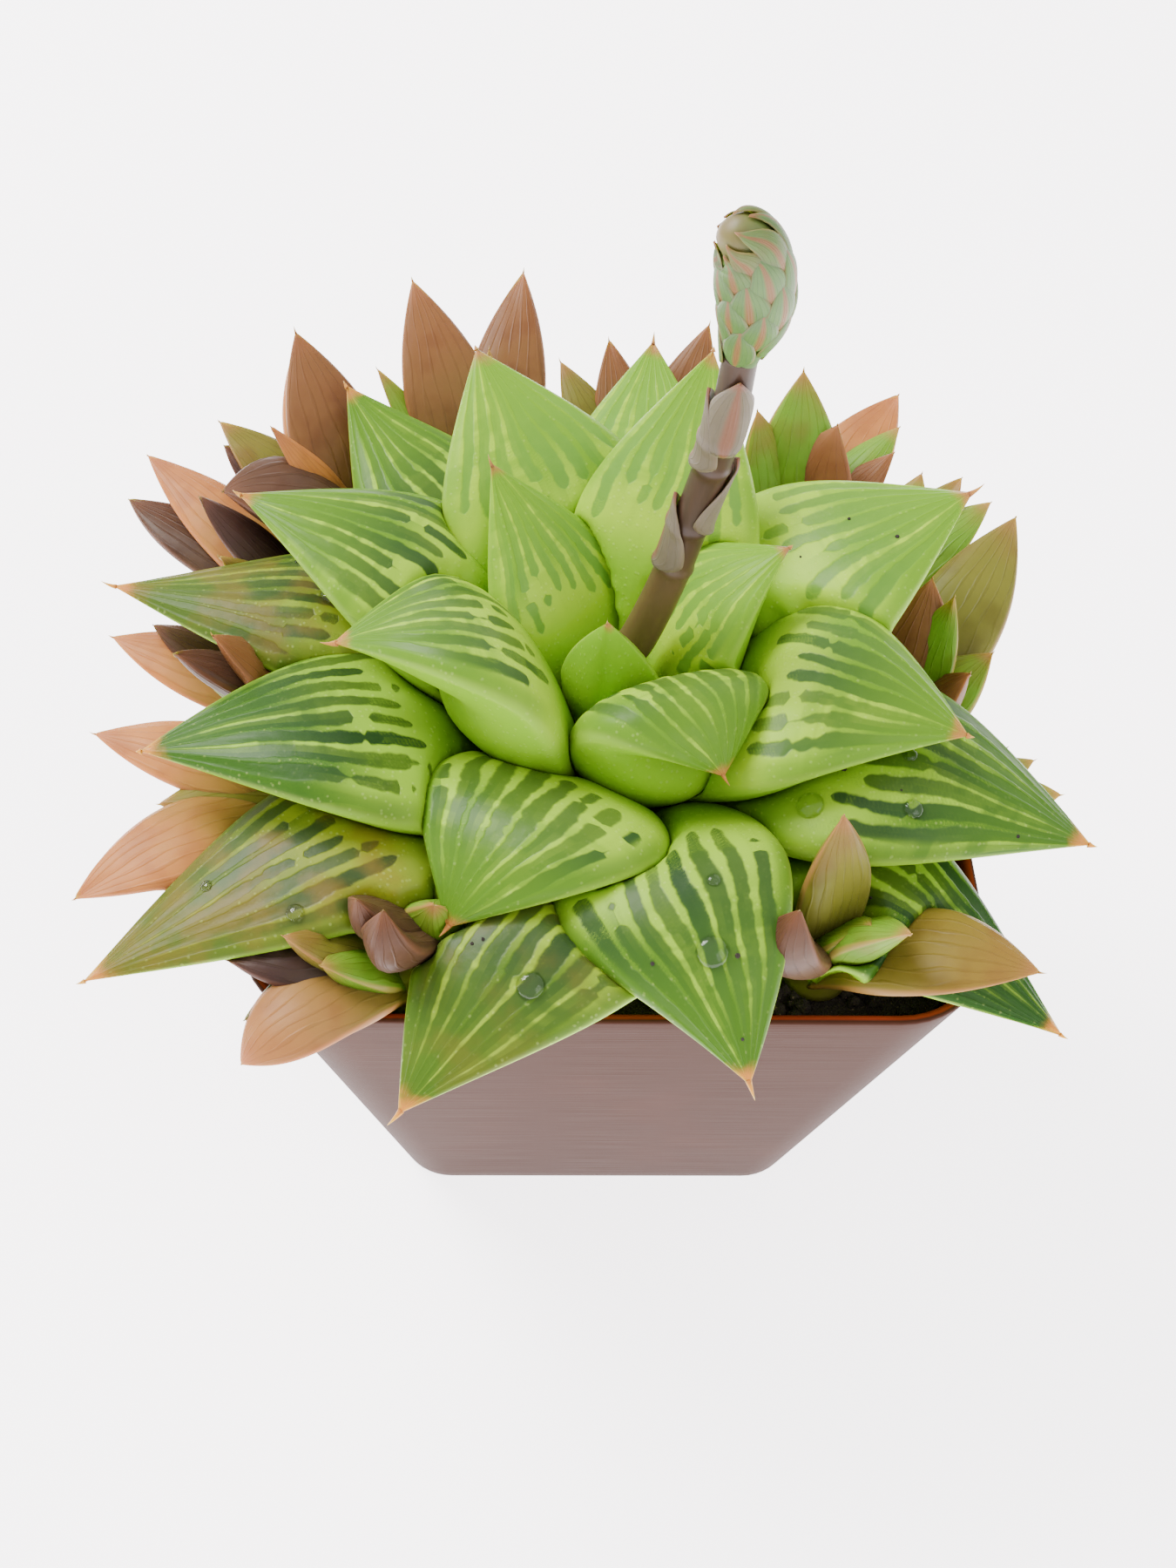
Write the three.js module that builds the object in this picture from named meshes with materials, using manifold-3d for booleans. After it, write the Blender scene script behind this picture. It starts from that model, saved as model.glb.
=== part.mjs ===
// A star-shaped window succulent in a square tapered pot: a rosette of fleshy keeled leaves, a ring of
// small offsets round it, and one flower stalk with a closed bud. Millimetres, +Z up, origin at the middle
// of the pot's underside, +Y towards the back of the plant.
import * as THREE from "three";
import { mergeVertices } from "three/addons/utils/BufferGeometryUtils.js";
import Module from "manifold-3d";

const wasm = await Module();
wasm.setup();

// Driving dimensions ------------------------------------------------------------------------------------
const POT_RIM = 57; // outer width across the flats at the rim
const POT_FOOT = 39.7; // outer width across the flats at the underside
const POT_HEIGHT = 48;
const POT_CORNER = 7.7; // outer corner radius at the rim
const POT_WALL = 0.8;
const POT_FLOOR = 1.2;
const DRAIN_HOLE = 5; // diameter of the hole near each corner of the floor
const DRAIN_INSET = 11; // from the middle to a hole, along X and along Y
const SOIL_BELOW_RIM = 4;
const PLANT_SPREAD = 1; // scales every place on the plant sideways
const PLANT_RISE = 1; // scales every height above the soil
const LEAF_FULLNESS = 1; // scales every leaf's width and thickness
const STEM_FOOT = 5.5; // radius of the rosette's stem at the soil
const STEM_TOP = 1.6; // and where the flower stalk leaves it
const STEM_HEIGHT = 12;
const STALK_FOOT = 1.5; // radius of the flower stalk where it leaves the stem
const STALK_TOP = 1.15; // and under the bud
const BUD_RADIUS = 2.5;
const BUD_FULL_AT = 0.5; // of its length, the bud is at its widest
const BUD_TOP = 0.12; // radius of its blunt top as a share of the widest
const BRACT_LENGTH = 6.6;
const BRACT_THICKNESS = 0.35;
const GAP = 0.3; // clearance between pieces that touch on the real plant

// How every leaf is shaped, as shares of its width, thickness or length, and powers of its outlines.
const FACE_SHARE = 0.34; // of the thickness is above the margins, the rest is the keel
const FACE_POWER = 0.8;
const KEEL_POWER = 1.7;
const BASE_WIDTH = 0.55;
const BASE_THICKNESS = 0.6;
const BASE_POWER = 1.4;
const WIDEST_AT = 0.52; // of a main leaf's length
const OFFSET_WIDEST_AT = 0.5;
const OFFSET_BLUNTNESS = 2.2;
const OFFSET_KEEP = 0.4; // of its chord that an offset's leaf keeps each slope for
const STEEPEST = 100; // launch of an offset's leaf in degrees
const TWISTED_BY = 0.6; // of its length, a leaf has all its twist
const BEND_RELIEF = 1.6; // how strongly a keel is flattened inside a sharp bend, so that it never folds

// The soil's level and the middle of the rosette on it.
const SOIL_TOP = POT_HEIGHT - SOIL_BELOW_RIM;
const HEART = new THREE.Vector3(0.25, -1, SOIL_TOP + 1);

const TABLE_SOIL = 44; // the soil level that the heights in the tables below were set against

// Fineness of the lofts.
const LEAF_RINGS = 8;
const LEAF_SIDES = 10;
const OFFSET_RINGS = 5;
const OFFSET_SIDES = 6;
const ROUND_SIDES = 12;
const STALK_RINGS = 9;
const BUD_RINGS = 7;

// Main leaves, from the innermost outwards: name, azimuth in degrees (0 = +X, 90 = +Y), reach of the tip
// from the heart, height of the tip, width, thickness, launch and arrival slopes in degrees, how far the
// blade keeps each slope (shares of its chord), twist in degrees, distance of the base from the heart,
// sideways bow, and bluntness of the blade towards its tip.
const MAIN_LEAVES = [
  ["leaf_heart_front", -108, 4.7, 66, 8.5, 5, 84, 70, 0.4, 0.4, 0, 1, 0, 1.6],
  ["leaf_inner_front", -63, 15.6, 60, 15.5, 9.5, 62, -42, 0.6, 0.45, -6, 2, -0.6, 2.4],
  ["leaf_inner_right", 12, 12.7, 67, 15, 7, 70, 42, 0.5, 0.4, 0, 1.5, 1.2, 1.6],
  ["leaf_inner_left", 132, 15.4, 67, 13, 7, 74, 45, 0.5, 0.4, 0, 2, 0, 1.6],
  ["leaf_inner_back", 68, 18.2, 74, 15.5, 8, 75, 60, 0.5, 0.4, 0, 2, 0, 1.7],
  ["leaf_middle_left", -167, 22.1, 64, 19, 9, 62, -14, 0.6, 0.5, 16, 3, 1.6, 1.9],
  ["leaf_middle_front", -119, 26.5, 54, 19.5, 9, 52, -36, 0.55, 0.45, 6, 5, 1.8, 1.75],
  ["leaf_middle_right", -23, 27.4, 61, 19, 9, 58, -8, 0.55, 0.5, 4, 4, 0, 1.9],
  ["leaf_front_right", -76, 35, 51, 17.5, 9, 44, -38, 0.5, 0.5, 12, 7, -1.8, 1.6],
  ["leaf_middle_back", 117, 26, 69, 19, 9, 60, 35, 0.5, 0.45, 0, 4, -1, 1.9],
  ["leaf_back_right", 20, 29.5, 66, 20, 9, 58, 18, 0.5, 0.45, 0, 4, 0.6, 1.8],
  ["leaf_back_left", 162, 31.6, 65, 17, 9, 58, 10, 0.5, 0.45, 0, 4, 0, 1.6],
  ["leaf_outer_back_left", 131, 35.6, 62, 16.5, 8, 50, 25, 0.5, 0.45, 0, 5, 0.5, 1.7],
  ["leaf_outer_back", 84, 34, 62, 15, 8, 52, 30, 0.5, 0.45, 0, 5, 0, 2],
  ["leaf_outer_left", -165, 37.5, 57, 19, 9, 42, -6, 0.45, 0.5, 6, 5, 2.4, 1.8],
  ["leaf_outer_left_back", 171, 41.3, 58, 15.5, 8, 46, 8, 0.5, 0.5, 0, 5, -1.2, 1.7],
  ["leaf_outer_right", -22.5, 38.7, 53, 19.5, 9, 46, -18, 0.5, 0.5, 0, 5, -1.8, 1.7],
  ["leaf_outer_front", -114.5, 38.5, 48.5, 18.5, 8, 38, -24, 0.5, 0.5, 4, 7, 4.2, 1.7],
  ["leaf_outer_front_left", -147, 46.7, 50, 15.5, 7.5, 34, -10, 0.45, 0.5, 4, 6, 1.6, 1.8],
  ["leaf_outer_front_right", -40.5, 42.9, 47, 15, 6, 32, -20, 0.5, 0.5, 0, 8, -2, 1.6],
];

// Offsets: name, crown X and Y, colour, and one row for each leaf with its tip's X, Y, Z, its width and
// thickness, and by how many degrees it starts steeper and ends flatter than its chord.
const OFFSETS = [
  ["offset_back_left", -11, 21, "brown", [
    [-18, 38.5, 64, 8.5, 4, 20, 15],
    [-8, 43, 62, 7.5, 3.5, 20, 15],
    [-21, 31, 60, 4, 2.5, 20, 10],
    [-11, 34, 60, 5, 3, 20, 10],
  ]],
  ["offset_left_back", -21, 17.5, "brown", [
    [-28, 32, 63, 8.5, 4, 20, 15],
    [-29, 37.5, 58, 9, 3.5, 20, 15],
    [-35, 27, 57, 7, 3, 20, 15],
    [-34.5, 25, 56, 6, 3, 20, 10],
    [-29, 20.5, 62, 4.5, 2.5, 15, 10],
    [-32.5, 14, 60.5, 11, 5, 35, 40],
  ]],
  ["offset_left", -23.5, 8.5, "mauve", [
    [-41, 23.5, 56, 7, 3.5, 30, 15],
    [-34.5, 14, 60, 4.5, 3, 20, 10],
    [-42.5, 20, 54, 6, 3.5, 30, 10],
    [-32.5, 9, 58, 5, 3, 20, 10],
  ]],
  ["offset_left_low", -24, -0.5, "peach", [
    [-41.5, 4.5, 53, 7.5, 3, 35, 15],
    [-38, 5, 54, 5, 3, 30, 10],
    [-34, -3.5, 60, 4.5, 3, 20, 10],
    [-31, -2.5, 61, 7, 3, 15, 5],
    [-33, -2.5, 57, 4, 3, 15, 5],
  ]],
  ["offset_left_front", -23.5, -9, "peach", [
    [-41.5, -5, 52, 7, 3.5, 35, 20],
    [-35.5, -11.5, 51.5, 6, 3, 30, 20],
    [-40.5, -20, 51, 8, 3.5, 35, 25],
  ]],
  ["offset_front_left", -16.5, -24, "peach", [
    [-27, -32.5, 49, 7, 3.5, 50, 45],
    [-27, -29.5, 50, 5, 3, 45, 35],
    [-29, -25, 52, 6, 4, 35, 15],
    [-21.3, -27.3, 54, 4.5, 3, 20, 10],
    [-24, -25.5, 55, 4, 3.5, 20, 5],
  ]],
  ["offset_front", -13.5, -19, "mauve", [
    [-18.5, -25, 59, 5.5, 3.2, 10, -20],
    [-16.5, -26.5, 60, 4.8, 3.4, 5, -45],
    [-13.5, -23.5, 56, 6, 4, 5, -5],
  ]],
  ["offset_front_right", 15.5, -22, "olive", [
    [29.5, -27.9, 54.5, 8, 3.5, 20, 25],
    [19.6, -27.2, 58.5, 4.5, 3, 10, 15],
    [15, -20.5, 63, 5.8, 3.5, 5, 5],
    [17.5, -25, 56, 5, 3, 10, 5],
    [11.8, -26.3, 60, 4.6, 3.4, 5, -35],
  ]],
  ["offset_right", 23.5, -1.5, "green", [
    [34.5, 15, 58, 8, 4, 25, 10],
    [25.5, 5.5, 60, 7, 3.5, 5, 5],
    [27, 3.5, 60, 5, 2.5, 10, -5],
    [31, 2, 55, 6.5, 3.5, 25, 5],
    [28, -2, 57, 6, 3, 10, 0],
    [31.5, -5.5, 52, 6.5, 4.5, 30, -10],
  ]],
  ["offset_right_front", 23.5, -9.5, "green", [
    [35.5, -9.5, 51, 6.5, 3, 35, 20],
    [34, -6, 51, 5, 3, 35, 15],
  ]],
  ["offset_back_right", 16.5, 19, "green", [
    [16.5, 26.5, 64, 8, 4, 15, 5],
    [12.5, 23.5, 62, 7, 4, 10, -5],
    [19.5, 23, 61, 8.5, 4, 10, 5],
    [26.5, 31, 58, 8, 3.5, 30, 15],
    [26, 26.5, 58, 6, 3, 25, 15],
    [25, 23, 58, 6, 3, 15, 5],
  ]],
  ["offset_right_back", 23, 13.5, "green", [
    [31, 21, 57, 6, 3, 25, 10],
    [33.5, 19, 56, 6, 3, 25, 15],
    [27.5, 21.5, 57, 6, 3, 20, 10],
    [30, 17.5, 55, 6, 3.5, 15, 5],
  ]],
  ["offset_back", 3, 22.5, "brown", [
    [0, 37, 59, 6, 3, 25, 15],
    [-4.5, 35, 58, 6, 3, 25, 15],
    [9, 35.5, 62, 7, 3.5, 15, 10],
    [12.5, 29.5, 60, 6, 3, 10, 5],
  ]],
];
const OUTERMOST = 3; // main leaves at the end of the table that lie under the offsets named here
const OVER_OUTERMOST = ["offset_front", "offset_front_right"];
const OFFSET_STEM = [2.6, 1.4, 4]; // foot radius, top radius and height of an offset's stem

// The flower stalk's middle line above the stem, and the bud's middle line above the stalk.
const STALK_LINE = [
  [0.3, -1, 57.3],
  [1.6, -1.1, 60],
  [3.5, -1.4, 67],
  [5.1, -1.5, 75],
  [6.1, -2.3, 82],
  [6.4, -2.9, 88],
];
const BUD_LINE = [[6.4, -2.9, 88.3], [6.8, -3.2, 92.2], [5.9, -3.7, 96.2], [4.2, -4.1, 97.6]];
// Bracts: share of the stalk's length at the foot of each, and the azimuth of its midrib.
const BRACTS = [[0.36, 190], [0.49, -10], [0.68, 200], [0.76, 90]];
const BRACT_WRAP = 1.9; // radians round the stalk from a bract's midrib to its edge at the foot
const BRACT_TIP = 0.1; // and at its tip, as a share of that
const BRACT_LIFT = 0.5; // how far its tip stands off

const COLOURS = {
  leaf: 0x7fae4a,
  outer: 0x8c8f48,
  brown: 0x8a5a44,
  peach: 0xd09a78,
  mauve: 0x6f5450,
  olive: 0x96804a,
  green: 0x7a9a3c,
  pot: 0xa9786c,
  soil: 0x17120e,
  stem: 0xa8b06a,
  stalk: 0x6f4a3c,
  bract: 0xd9b8a8,
  bud: 0x9fb48c,
};

// Solids ------------------------------------------------------------------------------------------------

// A closed three.js geometry as a solid.
function solidOf(geometry) {
  geometry.deleteAttribute("normal");
  geometry.deleteAttribute("uv");
  const merged = mergeVertices(geometry, 1e-4);
  return new wasm.Manifold(
    new wasm.Mesh({
      numProp: 3,
      vertProperties: new Float32Array(merged.attributes.position.array),
      triVerts: new Uint32Array(merged.index.array),
    }),
  );
}

// A solid as a named mesh of the group.
function addMesh(group, name, solid, colour, roughness = 0.45) {
  const made = solid.getMesh();
  const geometry = new THREE.BufferGeometry();
  geometry.setAttribute("position", new THREE.BufferAttribute(made.vertProperties, 3));
  geometry.setIndex(new THREE.BufferAttribute(made.triVerts, 1));
  geometry.computeVertexNormals();
  const material = new THREE.MeshStandardMaterial({ color: colour, roughness, metalness: 0 });
  const mesh = new THREE.Mesh(geometry, material);
  mesh.name = name;
  group.add(mesh);
}

// A cone or cylinder whose points are moved onto a body: place(along, angle, out) gives the point at a share
// of the length, an angle round it and 0 (middle) or 1 (surface) outwards.
function loft(rings, sides, pointed, place) {
  const geometry = new THREE.CylinderGeometry(pointed ? 0 : 1, 1, 1, sides, rings);
  const points = geometry.attributes.position;
  for (let i = 0; i < points.count; i += 1) {
    const along = points.getY(i) + 0.5;
    const out = Math.hypot(points.getX(i), points.getZ(i)) > 1e-6 ? 1 : 0;
    const angle = Math.atan2(points.getX(i), points.getZ(i));
    const p = place(along, angle, out);
    points.setXYZ(i, p.x, p.y, p.z);
  }
  return solidOf(geometry);
}

const boxesMeet = (a, b) => [0, 1, 2].every((k) => a.min[k] < b.max[k] && b.min[k] < a.max[k]);

// What is left of a solid after its neighbours, each a little larger than it is, are cut away.
function carve(solid, neighbours) {
  const near = neighbours.filter((neighbour) => boxesMeet(solid.boundingBox(), neighbour.boundingBox()));
  const pieces = wasm.Manifold.difference([solid, ...near]).decompose();
  return pieces.reduce((most, piece) => (piece.volume() > most.volume() ? piece : most));
}

const RADIANS = Math.PI / 180;

// Leaves ------------------------------------------------------------------------------------------------

// Half of a blade's width as a share of the most: it swells from the base to the knee, then tapers.
function swell(along, base, knee, bluntness) {
  if (along < knee) return base + (1 - base) * Math.sin((Math.PI / 2) * (along / knee)) ** BASE_POWER;
  return 1 - ((along - knee) / (1 - knee)) ** bluntness;
}

// How sharply a leaf's spine bends downwards at a share of its length, as one over the radius.
function bendOf(spine, along) {
  const step = 0.04;
  const before = Math.max(0, along - step);
  const after = Math.min(1, along + step);
  const turn = spine.getTangent(before).angle() - spine.getTangent(after).angle();
  const signed = Math.atan2(Math.sin(turn), Math.cos(turn));
  return Math.max(0, signed) / spine.getPoint(before).distanceTo(spine.getPoint(after));
}

// A fleshy leaf from its base to its tip: a curve that rises and bends over, with a domed face above and
// a keel below, which is shallower where the leaf bends sharply. grow makes it thicker all round.
function leafSolid(leaf, rings, sides, grow = 0) {
  const { base, tip, azimuth, launch, arrive, keepLow, keepHigh, start } = leaf;
  const outwards = new THREE.Vector3(Math.cos(azimuth), Math.sin(azimuth), 0);
  const sideways = new THREE.Vector3(-Math.sin(azimuth), Math.cos(azimuth), 0);
  const up = new THREE.Vector3(0, 0, 1);
  const reach = Math.hypot(tip.x - base.x, tip.y - base.y);
  const from = new THREE.Vector2(start, 0);
  const to = new THREE.Vector2(reach, tip.z - base.z);
  const chord = from.distanceTo(to);
  const heading = (slope) => new THREE.Vector2(Math.cos(slope), Math.sin(slope));
  const spine = new THREE.CubicBezierCurve(
    from,
    from.clone().addScaledVector(heading(launch), keepLow * chord),
    to.clone().addScaledVector(heading(arrive), -keepHigh * chord),
    to.clone().addScaledVector(heading(arrive), grow),
  );
  return loft(rings, sides, true, (along, angle, out) => {
    const point = spine.getPoint(along);
    const slope = spine.getTangent(along);
    const bend = bendOf(spine, along);
    const normal = up.clone().multiplyScalar(slope.x).addScaledVector(outwards, -slope.y);
    const turn = leaf.twist * Math.min(1, along / TWISTED_BY);
    const across = sideways.clone().multiplyScalar(Math.cos(turn)).addScaledVector(normal, Math.sin(turn));
    const over = normal.clone().multiplyScalar(Math.cos(turn)).addScaledVector(sideways, -Math.sin(turn));
    const half = (leaf.width / 2) * swell(along, BASE_WIDTH, leaf.knee, leaf.bluntness) + grow;
    const thick = leaf.thickness * swell(along, BASE_THICKNESS, leaf.knee, leaf.bluntness) + 2 * grow;
    const x = Math.cos(angle);
    const face = FACE_SHARE * thick * Math.max(0, Math.sin(angle)) ** FACE_POWER;
    const keel = (1 - FACE_SHARE) * thick * (1 - Math.abs(x) ** KEEL_POWER);
    const y = Math.sin(angle) >= 0 ? face : -keel / Math.hypot(1, BEND_RELIEF * keel * bend);
    const tapered = along === 1 ? 0 : out;
    return base.clone()
      .addScaledVector(outwards, point.x)
      .addScaledVector(up, point.y)
      .addScaledVector(sideways, leaf.bow * Math.sin(Math.PI * along))
      .addScaledVector(across, x * half * tapered)
      .addScaledVector(over, y * tapered);
  });
}

// A height above the soil after PLANT_RISE.
const raised = (z) => SOIL_TOP + (z - TABLE_SOIL) * PLANT_RISE;

// A row of MAIN_LEAVES as a leaf.
function mainLeaf(row) {
  const [name, azimuth, reach, z, width, thickness, launch, arrive] = row;
  const [keepLow, keepHigh, twist, start, bow, bluntness] = row.slice(8);
  const turned = azimuth * RADIANS;
  const tip = new THREE.Vector3(Math.cos(turned), Math.sin(turned), 0).multiplyScalar(reach * PLANT_SPREAD);
  tip.add(HEART).setZ(raised(z));
  return {
    name,
    base: HEART,
    tip,
    azimuth: turned,
    width: width * LEAF_FULLNESS,
    thickness: thickness * LEAF_FULLNESS,
    launch: launch * RADIANS,
    arrive: arrive * RADIANS,
    keepLow,
    keepHigh,
    twist: twist * RADIANS,
    start,
    bow,
    knee: WIDEST_AT,
    bluntness,
  };
}

// A row of an offset as a leaf on that offset's crown.
function offsetLeaf(crown, row) {
  const [x, y, z, width, thickness, steeper, flatter] = row;
  const tip = new THREE.Vector3(x * PLANT_SPREAD, y * PLANT_SPREAD, raised(z));
  const reach = Math.hypot(tip.x - crown.x, tip.y - crown.y);
  const rise = Math.atan2(tip.z - crown.z, reach);
  return {
    base: crown,
    tip,
    azimuth: Math.atan2(tip.y - crown.y, tip.x - crown.x),
    width: width * LEAF_FULLNESS,
    thickness: thickness * LEAF_FULLNESS,
    launch: Math.min(rise + steeper * RADIANS, STEEPEST * RADIANS),
    arrive: rise - flatter * RADIANS,
    keepLow: OFFSET_KEEP,
    keepHigh: OFFSET_KEEP,
    twist: 0,
    start: 0,
    bow: 0,
    knee: OFFSET_WIDEST_AT,
    bluntness: OFFSET_BLUNTNESS,
  };
}

// An offset: its short stem and its leaves grown together.
function offsetSolid(x, y, rows, grow = 0) {
  const [foot, top, height] = OFFSET_STEM;
  const crown = new THREE.Vector3(x * PLANT_SPREAD, y * PLANT_SPREAD, SOIL_TOP + GAP + 1);
  let solid = stemSolid(crown.x, crown.y, foot, top, height, grow);
  for (const row of rows) {
    solid = solid.add(leafSolid(offsetLeaf(crown, row), OFFSET_RINGS, OFFSET_SIDES, grow));
  }
  return solid;
}

// Stems, stalk, bracts and bud --------------------------------------------------------------------------

// An upright tapering stem that stands on the soil.
function stemSolid(x, y, foot, top, height, grow = 0) {
  const geometry = new THREE.CylinderGeometry(top + grow, foot + grow, height + 2 * grow, ROUND_SIDES);
  geometry.rotateX(Math.PI / 2);
  geometry.translate(x, y, SOIL_TOP + GAP + height / 2);
  return solidOf(geometry);
}

// A smooth curve through points given as [x, y, z], scaled with the plant.
function lineOf(points) {
  const placed = points.map(([x, y, z]) => new THREE.Vector3(x * PLANT_SPREAD, y * PLANT_SPREAD, raised(z)));
  return new THREE.CatmullRomCurve3(placed);
}

// Two directions square to a curve at a share of its length, the first as near +X as can be.
function squareTo(curve, along) {
  const tangent = curve.getTangent(along);
  const first = new THREE.Vector3(1, 0, 0).addScaledVector(tangent, -tangent.x).normalize();
  return [first, new THREE.Vector3().crossVectors(first, tangent), tangent];
}

// A round body along a curve, with radius(along) at each share of its length.
function roundSolid(curve, rings, radius, grow = 0) {
  return loft(rings, ROUND_SIDES, false, (along, angle, out) => {
    const [first, second, tangent] = squareTo(curve, along);
    const r = (radius(along) + grow) * out;
    const end = (along === 0 ? -grow : 0) + (along === 1 ? grow : 0);
    return curve.getPoint(along)
      .addScaledVector(first, r * Math.sin(angle))
      .addScaledVector(second, r * Math.cos(angle))
      .addScaledVector(tangent, end);
  });
}

const stalkRadius = (along) => STALK_FOOT + (STALK_TOP - STALK_FOOT) * along;

// The bud swells from a neck as thin as the stalk and closes over a round top.
function budRadius(along) {
  const filled = THREE.MathUtils.smoothstep(along, 0, BUD_FULL_AT);
  const above = Math.max(0, (along - BUD_FULL_AT) / (1 - BUD_FULL_AT));
  const body = STALK_TOP + (BUD_RADIUS - STALK_TOP) * filled;
  return body * (BUD_TOP + (1 - BUD_TOP) * Math.sqrt(1 - above ** 2));
}

// A papery scale that clasps the stalk: wide at its foot, narrow at its tip, which stands off a little.
function bractSolid(stalk, at, azimuth, grow = 0) {
  const span = BRACT_LENGTH / stalk.getLength();
  const geometry = new THREE.BoxGeometry(2, 1, 1, 6, 1, 5);
  const points = geometry.attributes.position;
  for (let i = 0; i < points.count; i += 1) {
    const along = points.getZ(i) + 0.5;
    const share = at + span * along;
    const radius = stalkRadius(share);
    const wrap = BRACT_WRAP * (1 - (1 - BRACT_TIP) * along ** 2) + grow / radius;
    const angle = azimuth * RADIANS + points.getX(i) * wrap;
    const inner = radius + GAP + BRACT_LIFT * along ** 2 - grow;
    const outside = points.getY(i) > 0;
    const r = outside ? inner + BRACT_THICKNESS + 2 * grow : inner;
    const [first, second] = squareTo(stalk, share);
    const p = stalk.getPoint(share)
      .addScaledVector(first, r * Math.cos(angle))
      .addScaledVector(second, r * Math.sin(angle));
    points.setXYZ(i, p.x, p.y, p.z);
  }
  return solidOf(geometry);
}

// Pot and soil ------------------------------------------------------------------------------------------

// A square with rounded corners.
function roundedSquare(width, corner) {
  const h = width / 2 - corner;
  const shape = new THREE.Shape();
  shape.absarc(h, h, corner, 0, Math.PI / 2);
  shape.absarc(-h, h, corner, Math.PI / 2, Math.PI);
  shape.absarc(-h, -h, corner, Math.PI, 1.5 * Math.PI);
  shape.absarc(h, -h, corner, 1.5 * Math.PI, 2 * Math.PI);
  return shape;
}

// The pot's outline, moved inwards by inset, from one height to another, narrowing towards the foot.
function taperedBlock(inset, low, high) {
  const shape = roundedSquare(POT_RIM, POT_CORNER);
  const geometry = new THREE.ExtrudeGeometry(shape, { depth: 1, bevelEnabled: false, curveSegments: 4 });
  const points = geometry.attributes.position;
  for (let i = 0; i < points.count; i += 1) {
    const z = low + (high - low) * points.getZ(i);
    const share = (POT_FOOT + ((POT_RIM - POT_FOOT) * z) / POT_HEIGHT - 2 * inset) / POT_RIM;
    points.setXYZ(i, points.getX(i) * share, points.getY(i) * share, z);
  }
  return solidOf(geometry);
}

// The pot: a thin tapered shell with a drain hole near each corner of its floor.
function potSolid() {
  let pot = taperedBlock(0, 0, POT_HEIGHT).subtract(taperedBlock(POT_WALL, POT_FLOOR, POT_HEIGHT + 1));
  for (const sx of [-1, 1]) {
    for (const sy of [-1, 1]) {
      const hole = new THREE.CylinderGeometry(DRAIN_HOLE / 2, DRAIN_HOLE / 2, 4 * POT_FLOOR, ROUND_SIDES);
      hole.rotateX(Math.PI / 2);
      hole.translate(sx * DRAIN_INSET, sy * DRAIN_INSET, POT_FLOOR / 2);
      pot = pot.subtract(solidOf(hole));
    }
  }
  return pot;
}

// What keeps clear of the pot and of the soil.
function potAndSoilGrown() {
  const outer = taperedBlock(-GAP, 0, POT_HEIGHT + GAP);
  return outer.subtract(taperedBlock(POT_WALL + GAP, SOIL_TOP + GAP, POT_HEIGHT + 1));
}

// The plant in its pot ----------------------------------------------------------------------------------

const group = new THREE.Group();
addMesh(group, "pot", potSolid(), COLOURS.pot, 0.4);
addMesh(group, "soil", taperedBlock(POT_WALL + GAP, POT_FLOOR + GAP, SOIL_TOP), COLOURS.soil, 0.95);

const stem = (grow) => stemSolid(HEART.x, HEART.y, STEM_FOOT, STEM_TOP, STEM_HEIGHT, grow);
addMesh(group, "rosette_stem", stem(0), COLOURS.stem);

const stalkLine = lineOf(STALK_LINE);
const budLine = lineOf(BUD_LINE);
addMesh(group, "flower_stalk", roundSolid(stalkLine, STALK_RINGS, stalkRadius), COLOURS.stalk);
addMesh(group, "flower_bud", roundSolid(budLine, BUD_RINGS, budRadius), COLOURS.bud);

// Each bract gives way to the ones below it, and each leaf and offset to all that is placed before it.
const bractsGrown = [];
BRACTS.forEach(([at, azimuth], i) => {
  const solid = carve(bractSolid(stalkLine, at, azimuth), bractsGrown);
  addMesh(group, `bract_${i + 1}`, solid, COLOURS.bract, 0.7);
  bractsGrown.push(bractSolid(stalkLine, at, azimuth, GAP));
});
const stalkGrown = roundSolid(stalkLine, STALK_RINGS, stalkRadius, GAP);
const placed = [potAndSoilGrown(), stem(GAP), stalkGrown, ...bractsGrown];

function placeLeaf(row) {
  const leaf = mainLeaf(row);
  const colour = leaf.name.includes("outer") ? COLOURS.outer : COLOURS.leaf;
  const solid = carve(leafSolid(leaf, LEAF_RINGS, LEAF_SIDES), placed);
  addMesh(group, leaf.name, solid, colour);
  placed.push(leafSolid(leaf, LEAF_RINGS, LEAF_SIDES, GAP), solid);
}

function placeOffset([name, x, y, tone, rows]) {
  const solid = carve(offsetSolid(x, y, rows), placed);
  addMesh(group, name, solid, COLOURS[tone]);
  placed.push(offsetSolid(x, y, rows, GAP), solid);
}

const isOver = ([name]) => OVER_OUTERMOST.includes(name);
MAIN_LEAVES.slice(0, -OUTERMOST).forEach(placeLeaf);
OFFSETS.filter(isOver).forEach(placeOffset);
MAIN_LEAVES.slice(-OUTERMOST).forEach(placeLeaf);
OFFSETS.filter((row) => !isOver(row)).forEach(placeOffset);

export default group;
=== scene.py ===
# %% [markdown]
# # A window succulent in a square pot
# A rosette of fleshy leaves grows from one short stem, with a fringe of small offsets and a flower stalk.
# The leaves are lofts that follow a rule, so one function makes them all and a table says how they differ.
# Everything is in metres, on the frame's own axes: +Z up and the front of the plant towards -Y.

import math

import bmesh
import bpy
import numpy as np
from mathutils import Matrix, Vector
from mathutils.bvhtree import BVHTree


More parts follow.
